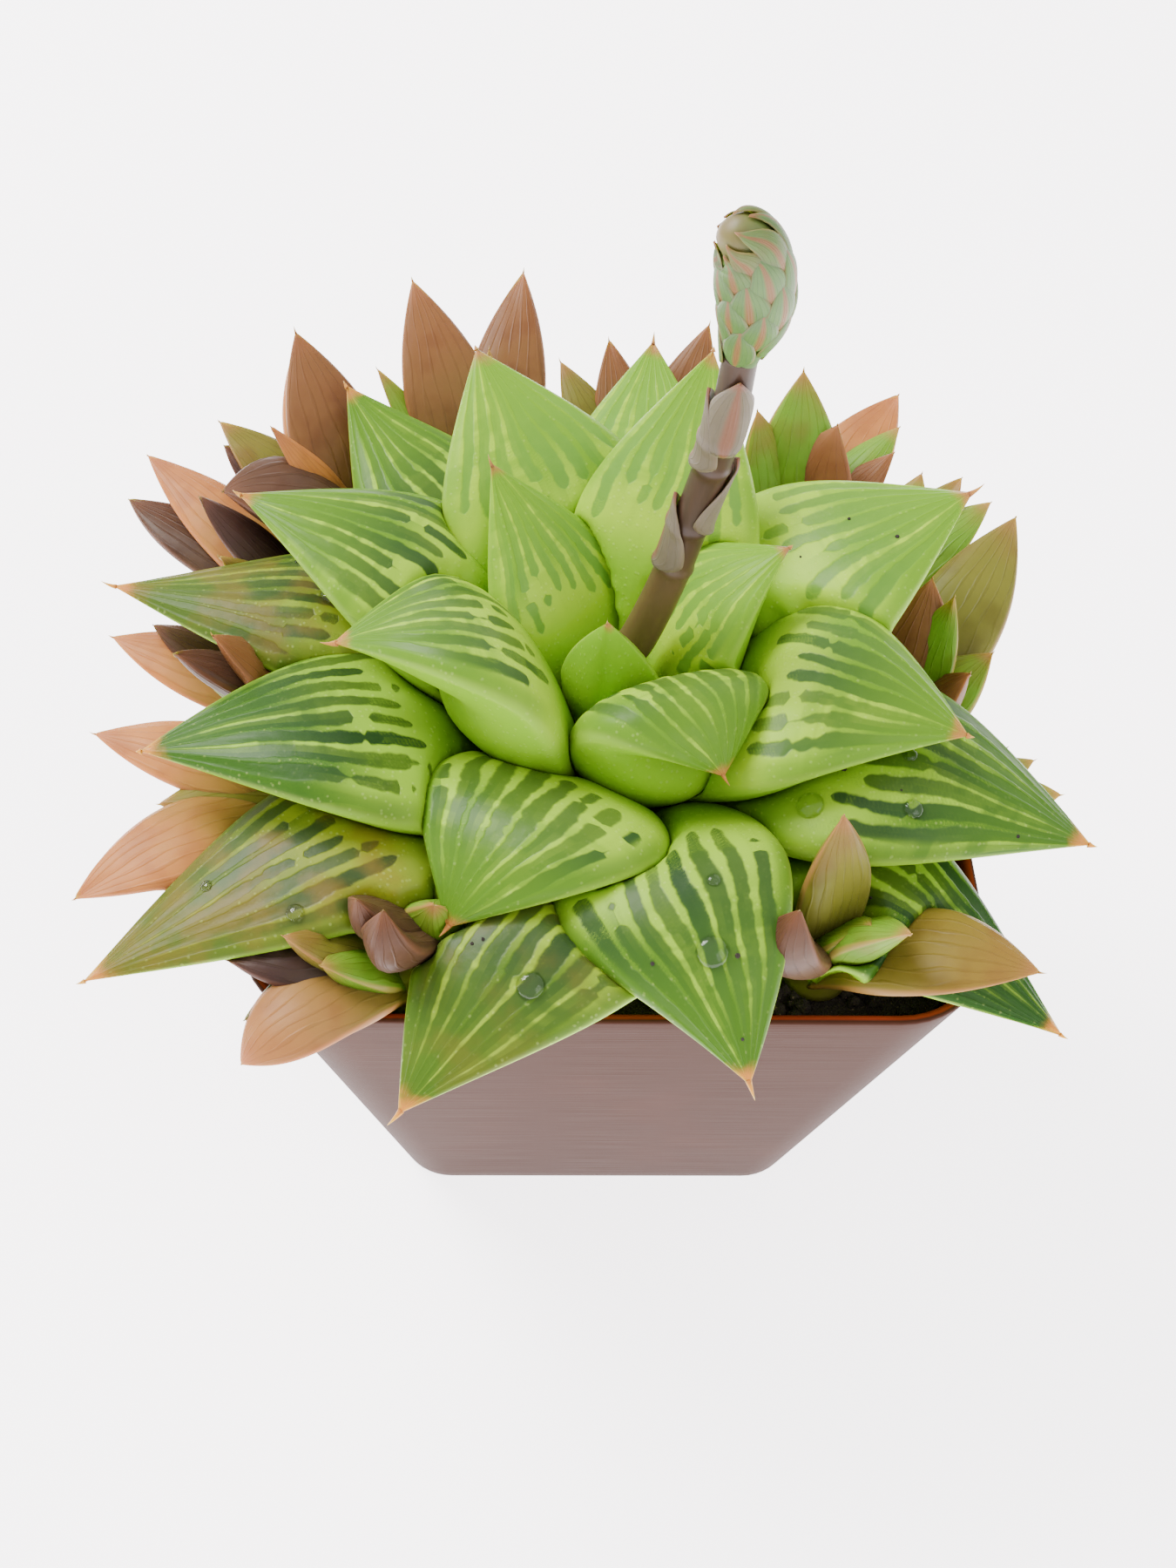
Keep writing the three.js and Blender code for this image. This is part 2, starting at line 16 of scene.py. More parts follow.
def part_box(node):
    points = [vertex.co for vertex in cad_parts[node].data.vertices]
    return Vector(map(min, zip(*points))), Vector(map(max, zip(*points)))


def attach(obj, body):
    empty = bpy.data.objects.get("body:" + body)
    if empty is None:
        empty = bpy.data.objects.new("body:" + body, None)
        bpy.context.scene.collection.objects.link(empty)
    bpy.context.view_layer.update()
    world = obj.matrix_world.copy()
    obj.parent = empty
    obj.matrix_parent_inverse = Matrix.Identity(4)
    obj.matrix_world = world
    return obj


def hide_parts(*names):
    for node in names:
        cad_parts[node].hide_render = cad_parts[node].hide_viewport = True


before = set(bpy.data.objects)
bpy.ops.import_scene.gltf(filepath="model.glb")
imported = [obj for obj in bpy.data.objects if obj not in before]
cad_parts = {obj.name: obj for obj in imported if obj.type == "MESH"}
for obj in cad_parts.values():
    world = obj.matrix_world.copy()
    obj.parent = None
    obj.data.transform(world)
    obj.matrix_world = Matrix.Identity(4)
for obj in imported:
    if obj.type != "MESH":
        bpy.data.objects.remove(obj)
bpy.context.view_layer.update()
MM = 0.001

# %% [markdown]
# ## Measures taken from the frame
# The pot and the soil give the level that the plant grows from, so it stays seated if the pot changes.

# %% Levels and places
pot_low, pot_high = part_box("pot")
soil_low, soil_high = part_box("soil")
RIM_WIDTH = pot_high.x - pot_low.x
POT_HEIGHT = pot_high.z
FOOT_WIDTH = 39.7 * MM
RIM_CORNER = 7.7 * MM
WALL = 0.8 * MM
FLOOR = 1.2 * MM
SOIL_TOP = soil_high.z
HEART = np.array([0.25 * MM, -1 * MM, SOIL_TOP + 1 * MM])
TABLE_SOIL = 44


def placed(x, y, z):
    """A place from a table in mm, whose heights are for a soil top at TABLE_SOIL."""
    return np.array([x * MM, y * MM, SOIL_TOP + (z - TABLE_SOIL) * MM])


print("rim", round(RIM_WIDTH / MM, 1), "height", round(POT_HEIGHT / MM, 1), "soil", round(SOIL_TOP / MM, 1))

# %% [markdown]
# ## Making plain meshes
# A loft is a grid of points: rings along the body and sides round it. All pieces share a few short
# helpers. They turn the rings into a closed body, join bodies into one, and hang numbers on every point
# for the materials to read.

# %% Helpers for meshes
def turns(sides):
    """Angles evenly spaced round a ring."""
    return np.linspace(0, 2 * np.pi, sides, endpoint=False)


def eased(share):
    """The share with a soft start and a soft end."""
    return share * share * (3 - 2 * share)


def make_object(name, points, faces, material, numbers=None):
    """A smooth mesh object at the origin, with an attribute on its points for each entry of numbers."""
    mesh = bpy.data.meshes.new(name)
    mesh.from_pydata([tuple(p) for p in points], [], faces)
    for key, values in (numbers or {}).items():
        values = np.asarray(values, np.float32)
        if values.ndim == 1:
            mesh.attributes.new(key, "FLOAT", "POINT").data.foreach_set("value", values)
        else:
            colours = np.column_stack([values, np.ones(len(values), np.float32)])
            mesh.attributes.new(key, "FLOAT_COLOR", "POINT").data.foreach_set("color", colours.ravel())
    mesh.polygons.foreach_set("use_smooth", [True] * len(mesh.polygons))
    mesh.materials.append(material)
    piece = bpy.data.objects.new(name, mesh)
    bpy.context.scene.collection.objects.link(piece)
    return piece


def belongs(piece, slot, *nodes):
    """The piece rides on the one body and stands for its CAD nodes; the slot is not used."""
    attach(piece, "root")
    if nodes:
        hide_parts(*nodes)


# %% Closing and joining bodies
def fair(points, faces):
    """The faces, all turned round if the closed mesh would point inwards."""
    volume = 0.0
    for face in faces:
        a = points[face[0]]
        for b, c in zip(face[1:-1], face[2:]):
            volume += np.dot(a, np.cross(points[b], points[c]))
    return faces if volume > 0 else [tuple(reversed(f)) for f in faces]


def closed_tube(rings, first, last):
    """Points and faces of a loft through rings of points, closed with fans to a first and a last point."""
    count, sides = len(rings), len(rings[0])
    points = np.concatenate([*rings, [first, last]])
    faces = []
    for i in range(count - 1):
        for j in range(sides):
            k = (j + 1) % sides
            a, b = i * sides, (i + 1) * sides
            faces.append((a + j, a + k, b + k, b + j))
    for j in range(sides):
        k = (j + 1) % sides
        end = (count - 1) * sides
        faces.append((count * sides, k, j))
        faces.append((count * sides + 1, end + j, end + k))
    return points, fair(points, faces)


def joined(bodies):
    """Several bodies, each with its points, faces and numbers, as one."""
    starts = np.cumsum([0] + [len(body[0]) for body in bodies])
    points = np.concatenate([body[0] for body in bodies])
    faces = [tuple(k + start for k in face) for body, start in zip(bodies, starts) for face in body[1]]
    return points, faces, {key: np.concatenate([body[2][key] for body in bodies]) for key in bodies[0][2]}


# %% [markdown]
# ## Short calls for materials
# A material is a tree of nodes, and trees are long to write out. Here the output of a node is kept in a
# small class that can be added and multiplied like a plain number, and every kind of node that the
# materials need gets one short function: a blend of two colours, a soft step, noise and so on.

# %% Helpers for nodes
class Shade:
    """A node's output, kept so that a sum with it makes the nodes that work the sum out."""

    def __init__(self, socket):
        self.socket = socket
        self.tree = socket.id_data

    def other(self, output):
        """Another output of the same node."""
        return Shade(self.socket.node.outputs[output])

    def __add__(self, other):
        return calc("ADD", self, other)

    def __sub__(self, other):
        return calc("SUBTRACT", self, other)

    def __rsub__(self, other):
        return calc("SUBTRACT", other, self)

    def __mul__(self, other):
        return calc("MULTIPLY", self, other)

    def __truediv__(self, other):
        return calc("DIVIDE", self, other)

    def __pow__(self, other):
        return calc("POWER", self, other)

    def __abs__(self):
        return calc("ABSOLUTE", self)


def feed(socket, value):
    """Links a shade to a socket, or sets the socket to a constant; colours get their fourth number."""
    if isinstance(value, Shade):
        value.tree.links.new(value.socket, socket)
    else:
        socket.default_value = (*value, 1) if socket.type == "RGBA" else value


def add_node(tree, kind, inputs, output=0, **settings):
    """A new node with its settings and its inputs, as one of its outputs."""
    node = tree.nodes.new(kind)
    for key, value in settings.items():
        setattr(node, key, value)
    for key, value in inputs.items():
        feed(node.inputs[key], value)
    return Shade(node.outputs[output])


def tree_of(*values):
    return next(value.tree for value in values if isinstance(value, Shade))


def calc(operation, *values):
    return add_node(tree_of(*values), "ShaderNodeMath", dict(enumerate(values)), operation=operation)


def step(value, low, high):
    """0 below low, 1 above high and a smooth slope between."""
    inputs = {"Value": value, "From Min": low, "From Max": high}
    return add_node(value.tree, "ShaderNodeMapRange", inputs, interpolation_type="SMOOTHSTEP")


def blend(share, first, second, way="MIX"):
    """A colour between two colours, or with the way MULTIPLY the first darkened by the second."""
    tree, inputs = tree_of(share, first, second), {0: share, 6: first, 7: second}
    return add_node(tree, "ShaderNodeMix", inputs, 2, data_type="RGBA", blend_type=way)


def read(tree, name, output="Fac"):
    """A number that is stored on the mesh's points, or a colour with the output Color."""
    return add_node(tree, "ShaderNodeAttribute", {}, output, attribute_name=name)


def together(x, y, z):
    """A vector from three numbers, to look up noise with."""
    return add_node(tree_of(x, y, z), "ShaderNodeCombineXYZ", {0: x, 1: y, 2: z})


def cloud(tree, scale, detail=2.0, where=None, stretch=None):
    """Noise on Object coordinates, or on a given vector, stretched by a factor along each axis."""
    if where is None:
        where = add_node(tree, "ShaderNodeTexCoord", {}, "Object")
    if stretch:
        where = add_node(tree, "ShaderNodeMapping", {"Vector": where, "Scale": stretch})
    return add_node(tree, "ShaderNodeTexNoise", {"Vector": where, "Scale": scale, "Detail": detail}, "Fac")


def chance(value):
    """The same random number from 0 to 1 wherever the value is the same."""
    return add_node(value.tree, "ShaderNodeTexWhiteNoise", {"W": value}, "Value", noise_dimensions="1D")


# %% Helpers for materials
def new_material(name, roughness, shine=0.5):
    """A material, its node tree and its shader."""
    material = bpy.data.materials.new(name)
    material.use_nodes = True
    shader = material.node_tree.nodes["Principled BSDF"]
    shader.inputs["Roughness"].default_value = roughness
    shader.inputs["Specular IOR Level"].default_value = shine
    return material, material.node_tree, shader


def bump(shader, height, distance, strength=1.0):
    """Fine relief that is too small for the mesh."""
    inputs = {"Height": height, "Distance": distance, "Strength": strength}
    feed(shader.inputs["Normal"], add_node(height.tree, "ShaderNodeBump", inputs))


def fleshy(shader, weight, depth):
    """Light that soaks into living tissue and comes out a little way off."""
    shader.inputs["Subsurface Weight"].default_value = weight
    shader.inputs["Subsurface Radius"].default_value = (0.9, 1.0, 0.35)
    shader.inputs["Subsurface Scale"].default_value = depth


# %% [markdown]
# ## The skin of the main leaves
# The upper face of each leaf has see-through windows: darker fingers that start behind the knee with round
# ends and run to the tip between pale lines. Painting them needs coordinates that follow the leaf, so every
# point carries how far along it is and a stripe number whose whole part names the finger. A random number
# for each finger sets where it starts and where a pale bridge crosses it. Age turns the lines orange-brown.

# %% Where the windows are
ROUND_END = 0.04


def window_mask(tree, stripe, along, seed, start):
    """1 inside a window, 0 on the pale lines between windows and on the plain base and margins."""
    # How far from the finger's middle, and a number that names the finger.
    aside = abs(calc("FRACT", stripe) - 0.5) * 2.0
    name = calc("FLOOR", stripe) + seed * 17.3
    luck_too = chance(name + 71.7)
    # Each finger begins at a place of its own, with a round end.
    begin = chance(name) * 0.13 + start
    head = (begin + ROUND_END - along) / ROUND_END
    head = calc("MINIMUM", calc("MAXIMUM", head, 0.0), 1.0)
    dome = calc("SQRT", 1.0 - head * head)
    # The pale line beside it is thick at first and thin further on, and its edge wavers.
    opening = along - begin
    line = luck_too * 0.16 + 0.36 - step(opening, 0.02, 0.25) * 0.2
    ripple = (cloud(tree, 1.0, 2.0, together(along * 30.0, stripe, seed)) - 0.5) * 0.6
    room = (1.0 - line + ripple) * dome - aside - head ** 6.0 * 0.4
    # Pale bridges cross some fingers, and some fingers are fainter than others.
    crossing = together(along * 16.0, name * 3.1, luck_too)
    bridge = step(cloud(tree, 1.0, 0.0, crossing), 0.64, 0.72) * (1.0 - step(along, 0.55, 0.8))
    clear = chance(name + 13.1) * 0.25 + 0.75
    return step(room - bridge * 0.9, -0.12, 0.14) * clear


# %% Colours of a main leaf
def leaf_material(name):
    """Green or aged skin with windows; the numbers on the leaf's points say which and how deep."""
    material, tree, shader = new_material(name, 0.36, 0.12)
    along, stripe, upper = read(tree, "along"), read(tree, "stripe"), read(tree, "upper")
    across = abs(read(tree, "across"))
    seed, age, depth = read(tree, "seed"), read(tree, "age"), read(tree, "depth")
    window = window_mask(tree, stripe, along, seed, read(tree, "start"))
    window = window * upper * (1.0 - step(across, 0.82, 0.93))
    mottle = cloud(tree, 900.0, 3.0)
    broad = cloud(tree, 120.0, 2.0)
    # Plain skin, the pale lines and the middle tone that both fade into.
    side = blend(broad, (0.17, 0.38, 0.01), (0.25, 0.48, 0.015))
    base = blend(broad, (0.21, 0.45, 0.008), (0.31, 0.56, 0.02))
    base = blend(depth, base, (0.055, 0.155, 0.007))
    lines = blend(age, (0.38, 0.6, 0.02), (0.25, 0.15, 0.014))
    lines = blend(depth * 0.7, lines, (0.15, 0.3, 0.018))
    middle = blend(depth, (0.18, 0.37, 0.014), (0.02, 0.075, 0.007))
    middle = blend(age * 0.7, middle, (0.07, 0.085, 0.011))
    # Each line fades out at a length of its own and is ragged before that.
    between = calc("FLOOR", stripe + 0.5) + seed * 5.7
    ends = chance(between) ** 1.6 * 0.45 + 0.55
    fading = step(along - ends, -0.05, 0.12)
    ragged = cloud(tree, 1.0, 2.0, together(along * 22.0, between * 4.3, seed))
    ragged = step(ragged, 0.42, 0.6) * step(along, 0.55, 0.75)
    lines = blend(calc("MAXIMUM", fading, ragged * 0.7), lines, middle)
    opening = along - read(tree, "start")
    face = blend(step(opening, -0.1, 0.08), base, lines)
    # The windows, darker on the deeper green leaves.
    pane = blend(mottle, (0.11, 0.27, 0.03), (0.16, 0.34, 0.035))
    deeper_pane = blend(mottle, (0.017, 0.05, 0.013), (0.03, 0.072, 0.02))
    pane = blend(step(depth, 0.05, 0.55), pane, deeper_pane)
    pane = blend(step(depth, 0.6, 1.0), pane, (0.007, 0.026, 0.009))
    pane = blend(age * 0.5, pane, (0.03, 0.038, 0.014))
    pane = blend(step(opening, 0.14, 0.5) * 0.92, pane, middle)
    face = blend(window, face, pane)
    rimward = step(across, 0.8, 0.95) * step(opening, 0.0, 0.15)
    face = blend(rimward * 0.7, face, middle)
    colour = blend(upper, side, face)
    # Stains of age, a pale margin, an orange tip and small pale specks.
    stain = age * step(cloud(tree, 240.0, 3.0), 0.42, 0.66)
    colour = blend(stain * 0.6, colour, (0.2, 0.12, 0.018))
    margin = step(across, 0.965, 0.995) * step(along, 0.3, 0.5)
    colour = blend(margin * 0.2, colour, (0.36, 0.5, 0.07))
    tipped = mottle * 0.04 + along
    tip_tone = blend(depth, (0.33, 0.14, 0.06), (0.6, 0.21, 0.03))
    colour = blend(step(tipped, 0.975, 1.015), colour, tip_tone)
    where = add_node(tree, "ShaderNodeTexCoord", {}, "Object")
    speck = add_node(tree, "ShaderNodeTexVoronoi", {"Vector": where, "Scale": 1900.0}, "Distance")
    plain = (1.0 - step(speck, 0.12, 0.3)) * (1.0 - window)
    colour = blend(plain * 0.14, colour, (0.6, 0.74, 0.2))
    feed(shader.inputs["Base Color"], colour)
    bump(shader, window * -0.5 + mottle * 0.5 + plain * 0.25, 0.12 * MM, 0.6)
    feed(shader.inputs["Roughness"], window * -0.1 + 0.42)
    fleshy(shader, 0.3, 1.5 * MM)
    return material


leaf_green = leaf_material("leaf skin")
leaf_aged = leaf_material("old leaf skin")

# %% [markdown]
# ## The leaf as a rule
# A leaf could be sculpted, but its shape follows from a few numbers: a spine that leaves the stem at one
# slope and arrives at the tip at another, a width that swells to the knee and tapers, and a section with a
# domed face above and a keel below. numpy works out all the points of a leaf at once.

# %% Spine, width and section
KNEE = 0.52
BEND_RELIEF = 1.6


def swell(along, base, knee, bluntness):
    low = base + (1 - base) * np.sin(np.pi / 2 * np.clip(along / knee, 0, 1)) ** 1.4
    high = 1 - np.clip((along - knee) / (1 - knee), 0, 1) ** bluntness
    return np.where(along < knee, low, high)


def spine_of(start, reach, rise, launch, arrive, keep_low, keep_high, along):
    """Points, directions and downward bend of the cubic curve, as distance outwards and height."""
    p0, p3 = np.array([start, 0.0]), np.array([reach, rise])
    chord = np.linalg.norm(p3 - p0)
    p1 = p0 + keep_low * chord * np.array([math.cos(launch), math.sin(launch)])
    p2 = p3 - keep_high * chord * np.array([math.cos(arrive), math.sin(arrive)])
    t = along[:, None]
    points = (1 - t) ** 3 * p0 + 3 * (1 - t) ** 2 * t * p1 + 3 * (1 - t) * t**2 * p2 + t**3 * p3
    slope = 3 * (1 - t) ** 2 * (p1 - p0) + 6 * (1 - t) * t * (p2 - p1) + 3 * t**2 * (p3 - p2)
    speed = np.linalg.norm(slope, axis=1)
    angle = np.unwrap(np.arctan2(slope[:, 1], slope[:, 0]))
    bend = np.maximum(0, -np.gradient(angle, along) / speed)
    return points, slope / speed[:, None], bend


# %% Points of a whole leaf
def leaf_points(leaf, rings, sides):
    """The grid of a leaf's points, with its coordinates along, across and the upper side's share."""
    base, tip = leaf["base"], leaf["tip"]
    azimuth = leaf["azimuth"]
    along = 1 - (1 - np.linspace(0, 1, rings + 1)) ** 1.15
    reach = math.hypot(tip[0] - base[0], tip[1] - base[1])
    curve, slope, bend = spine_of(
        leaf["start"], reach, tip[2] - base[2], leaf["launch"], leaf["arrive"], *leaf["keep"], along
    )
    out = np.array([math.cos(azimuth), math.sin(azimuth), 0])
    side = np.array([-math.sin(azimuth), math.cos(azimuth), 0])
    up = np.array([0, 0, 1.0])
    normal = slope[:, :1] * up - slope[:, 1:] * out
    turn = (leaf["twist"] * np.minimum(1, along / 0.6))[:, None]
    across_way = side * np.cos(turn) + normal * np.sin(turn)
    over_way = normal * np.cos(turn) - side * np.sin(turn)
    half = leaf["width"] / 2 * swell(along, 0.55, leaf["knee"], leaf["blunt"])
    thick = leaf["thickness"] * swell(along, 0.6, leaf["knee"], leaf["blunt"])
    middle = base + out * curve[:, :1] + up * curve[:, 1:]
    middle = middle + side * (leaf["bow"] * np.sin(np.pi * along))[:, None]
    angle = turns(sides)
    x, high = np.cos(angle), np.maximum(0, np.sin(angle))
    blade = eased(np.clip((along - 0.3) / 0.4, 0, 1))[:, None]
    face = 0.34 * thick[:, None] * high**0.8
    keel = 0.66 * thick[:, None] * (1 - np.abs(x) ** 1.7) ** (0.6 + 0.4 * blade)
    keel = keel / np.hypot(1, BEND_RELIEF * keel * bend[:, None])
    y = np.where(np.sin(angle) >= 0, face, -keel)
    grid = middle[:, None] + across_way[:, None] * (x * half[:, None])[..., None]
    grid = grid + over_way[:, None] * y[..., None]
    upper = np.clip(np.sin(angle) * 6, 0, 1)
    return grid, along, x, upper, over_way


# %% [markdown]
# ## The main leaves
# Each row is one leaf, innermost first: its name, azimuth, reach and height of the tip, width, thickness,
# launch and arrival slopes, how far the blade keeps each slope, twist, distance of the base from the heart,
# sideways bow, bluntness, age, depth of its green and the place where its windows start.

# %% Table of the main leaves
MAIN_LEAVES = [
    ["leaf_heart_front", -108, 4.7, 66, 8.5, 5, 84, 70, 0.4, 0.4, 0, 1, 0, 1.6, 0, 0.1, 0.75],
    ["leaf_inner_front", -63, 15.6, 60, 15.5, 9.5, 62, -42, 0.6, 0.45, -6, 2, -0.6, 2.4, 0, 0.5, 0.42],
    ["leaf_inner_right", 12, 12.7, 67, 15, 7, 70, 42, 0.5, 0.4, 0, 1.5, 1.2, 1.6, 0, 0.15, 0.42],
    ["leaf_inner_left", 132, 15.4, 67, 13, 7, 74, 45, 0.5, 0.4, 0, 2, 0, 1.6, 0, 0.12, 0.45],
    ["leaf_inner_back", 68, 18.2, 74, 15.5, 8, 75, 60, 0.5, 0.4, 0, 2, 0, 1.7, 0, 0.12, 0.52],
    ["leaf_middle_left", -167, 22.1, 64, 19, 9, 62, -14, 0.6, 0.5, 16, 3, 1.6, 1.9, 0, 0.5, 0.46],
    ["leaf_middle_front", -119, 26.5, 54, 19.5, 9, 52, -36, 0.55, 0.45, 6, 5, 1.8, 1.75, 0, 0.58, 0.42],
    ["leaf_middle_right", -23, 27.4, 61, 19, 9, 58, -8, 0.55, 0.5, 4, 4, 0, 1.9, 0, 0.42, 0.48],
    ["leaf_front_right", -76, 35, 51, 17.5, 9, 44, -38, 0.5, 0.5, 12, 7, -1.8, 1.6, 0, 0.75, 0.42],
    ["leaf_middle_back", 117, 26, 69, 19, 9, 60, 35, 0.5, 0.45, 0, 4, -1, 1.9, 0, 0.12, 0.5],
    ["leaf_back_right", 20, 29.5, 66, 20, 9, 58, 18, 0.5, 0.45, 0, 4, 0.6, 1.8, 0, 0.25, 0.52],
    ["leaf_back_left", 162, 31.6, 65, 17, 9, 58, 10, 0.5, 0.45, 0, 4, 0, 1.6, 0, 0.5, 0.44],
    ["leaf_outer_back_left", 131, 35.6, 62, 16.5, 8, 50, 25, 0.5, 0.45, 0, 5, 0.5, 1.7, 0, 0.55, 0.42],
    ["leaf_outer_back", 84, 34, 62, 15, 8, 52, 30, 0.5, 0.45, 0, 5, 0, 2, 0, 0.1, 0.55],
    ["leaf_outer_left", -165, 37.5, 57, 19, 9, 42, -6, 0.45, 0.5, 6, 5, 2.4, 1.8, 0, 0.9, 0.44],
    ["leaf_outer_left_back", 171, 41.3, 58, 15.5, 8, 46, 8, 0.5, 0.5, 0, 5, -1.2, 1.7, 0.7, 0.75, 0.46],
    ["leaf_outer_right", -22.5, 38.7, 53, 19.5, 9, 46, -18, 0.5, 0.5, 0, 5, -1.8, 1.7, 0, 0.8, 0.42],
    ["leaf_outer_front", -114.5, 38.5, 48.5, 18.5, 8, 38, -24, 0.5, 0.5, 4, 7, 4.2, 1.7, 0.4, 0.75, 0.42],
    ["leaf_outer_front_left", -147, 46.7, 50, 15.5, 7.5, 34, -10, 0.45, 0.5, 4, 6, 1.6, 1.8, 0.85, 0.7, 0.44],
    ["leaf_outer_front_right", -40.5, 42.9, 47, 15, 6, 32, -20, 0.5, 0.5, 0, 8, -2, 1.6, 0, 1.0, 0.4],
]


def main_leaf(row):
    (name, azimuth, reach, z, width, thickness, launch, arrive,
     keep_low, keep_high, twist, start, bow, blunt, age, depth, panes) = row
    turned = math.radians(azimuth)
    tip = HEART + np.array([math.cos(turned), math.sin(turned), 0]) * reach * MM
    tip[2] = placed(0, 0, z)[2]
    return dict(
        name=name, base=HEART, tip=tip, azimuth=turned, width=width * MM, thickness=thickness * MM,
        launch=math.radians(launch), arrive=math.radians(arrive), keep=(keep_low, keep_high),
        twist=math.radians(twist), start=start * MM, bow=bow * MM, knee=KNEE, blunt=blunt,
        age=age, depth=depth, panes=panes,
    )


# %% [markdown]
# ## Leaves that press on each other
# The young leaves keep their shape, and an older leaf is dented where it meets one. Each leaf is made in
# turn, and any of its points that would be inside a leaf already made is moved down out of that leaf.

# %% Building the main leaves
RINGS, SIDES = 110, 72
STRIPES = 9
CLEAR = 0.08 * MM
DEEPEST_DENT = 20 * MM
THINNEST = 0.3 * MM
made_trees = []


def softened(dent):
    """A dent's depths with its rim eased out over a few neighbouring points, nowhere shallower."""
    soft = dent
    for _ in range(4):
        wide = np.pad(soft, ((1, 1), (0, 0)), mode="edge")
        soft = (wide[:-2] + 2 * wide[1:-1] + wide[2:]) / 4
        soft = (np.roll(soft, 1, 1) + 2 * soft + np.roll(soft, -1, 1)) / 4
        soft = np.maximum(soft, dent)
    return soft


def push_out(grid, over, trees, most):
    """Moves a leaf's points that are inside a body already made down along the leaf's normal, out of it."""
    rings, sides = grid.shape[:2]
    for low, high, tree in trees:
        near = np.all((grid > low) & (grid < high), axis=2)
        dent = np.zeros((rings, sides))
        for i, j in zip(*np.nonzero(near)):
            point, down = Vector(grid[i, j]), Vector(-over[i])
            place, normal, _, gap = tree.ray_cast(point, down, most)
            if place is not None and normal.dot(down) > 0:
                dent[i, j] = gap + CLEAR
        if dent.any():
            grid = grid - over[:, None] * softened(dent)[..., None]
    # The lower side gives way too, so that the leaf keeps some thickness under a dent.
    height = np.einsum("ijk,ik->ij", grid, over)
    for j in range(1, sides // 2):
        below = sides - j
        room = height[:, j] - height[:, below]
        short = np.maximum(0, THINNEST * (1 - abs(1 - 4 * j / sides)) - room)
        grid[:, below] -= over * short[:, None]
    return grid


def remember(points, faces):
    """Keeps a body's box and search tree for push_out."""
    tree = BVHTree.FromPolygons([tuple(p) for p in points], faces)
    made_trees.append((points.min(0), points.max(0), tree))


# %% A whole leaf with the bristle on its tip
def bristle(tip, way, up, length, radius):
    """A small hooked spine on a leaf's tip."""
    share = np.linspace(0, 1, 7)[:, None]
    angle = turns(6)
    side = np.cross(way, up)
    centre = tip + way * length * (share - 0.25) + up * length * 0.35 * share**2
    ring = side * np.cos(angle)[:, None] + up * np.sin(angle)[:, None]
    grid = centre[:, None] + ring * (radius * (1 - 0.93 * share))[..., None]
    return closed_tube(grid, centre[0], centre[-1])


def leaf_body(leaf, rings, sides, stripes, seed, trees, most):
    """Points, faces and per-point numbers of one leaf that gives way to the bodies in trees."""
    grid, along, across, upper, over = leaf_points(leaf, rings, sides)
    stripe = across[None, :] * stripes / 2 + 0.14 * np.sin(along[:, None] * 9 + seed * 5 + across * 2)
    stripe = stripe + 0.1 * np.sin(along[:, None] * 23 + across * 5 + seed * 11)
    ridge = np.abs(stripe % 1 - 0.5) * 2
    on_face = upper * np.clip((along[:, None] - 0.42) / 0.1, 0, 1) * np.clip((1 - along[:, None]) / 0.1, 0, 1)
    lift = 0.08 * MM * (ridge**3 - 0.4) * on_face
    swayed = 0.12 * MM * np.sin(along[:, None] * 7 + seed) * np.sin(across * 3 + seed * 3)
    grid = push_out(grid + over[:, None] * (lift + swayed * upper)[..., None], over, trees, most)
    base, tip = grid[0].mean(0), grid[-1].mean(0)
    points, faces = closed_tube(grid[:-1], base, tip)
    way = tip - grid[-6].mean(0)
    length = leaf["width"] * (0.05 + 0.03 * math.sin(seed * 7)) * leaf.get("hook", 1)
    spine, spine_faces = bristle(tip, way / np.linalg.norm(way), over[-1], length, leaf["width"] * 0.014)
    numbers = {
        "along": np.append(np.repeat(along[:-1], sides), [0, 1]),
        "across": np.append(np.tile(across, rings), [0, 0]),
        "upper": np.append(np.tile(upper, rings), [0, 1]),
        "stripe": np.append(stripe[:-1].ravel(), [0, 0]),
    }
    spine_numbers = {key: np.full(len(spine), float(key == "along")) for key in numbers}
    return joined([(points, faces, numbers), (spine, spine_faces, spine_numbers)])


def add_leaf(leaf, seed):
    points, faces, numbers = leaf_body(leaf, RINGS, SIDES, STRIPES, seed, made_trees, DEEPEST_DENT)
    remember(points, faces)
    whole = {"seed": seed, "age": leaf["age"], "depth": leaf["depth"], "start": leaf["panes"]}
    numbers |= {key: np.full(len(points), value) for key, value in whole.items()}
    material, slot = (leaf_aged, "leaf_aged") if leaf["age"] > 0 else (leaf_green, "leaf_green")
    piece = make_object(leaf["name"] + "_fine", points, faces, material, numbers)
    belongs(piece, slot, leaf["name"])
    return piece


# The last leaves of the table wait for the offsets that lie on top of them.
OUTERMOST = 3
main_pieces = [add_leaf(main_leaf(row), 0.37 * i) for i, row in enumerate(MAIN_LEAVES[:-OUTERMOST])]
print(len(main_pieces), "main leaves,", sum(len(p.data.polygons) for p in main_pieces), "faces")

# %% [markdown]
# ## The offsets
# Each offset is a small rosette: a few leaves on a short stem, brown, mauve, peach or green, with darker
# veins in place of windows. The same rule makes their leaves, coarser because they are small.

# %% Material of the offsets
offset_skin, tree, shader = new_material("offset skin", 0.42, 0.15)
along, stripe = read(tree, "along"), read(tree, "stripe")
skin, across = read(tree, "skin", "Color"), read(tree, "across")
aside = abs(calc("FRACT", stripe) - 0.5)
grain = cloud(tree, 700.0, 3.0)
warp = cloud(tree, 330.0, 3.0)
vein = step(aside + warp * 0.5, 0.6, 0.74)
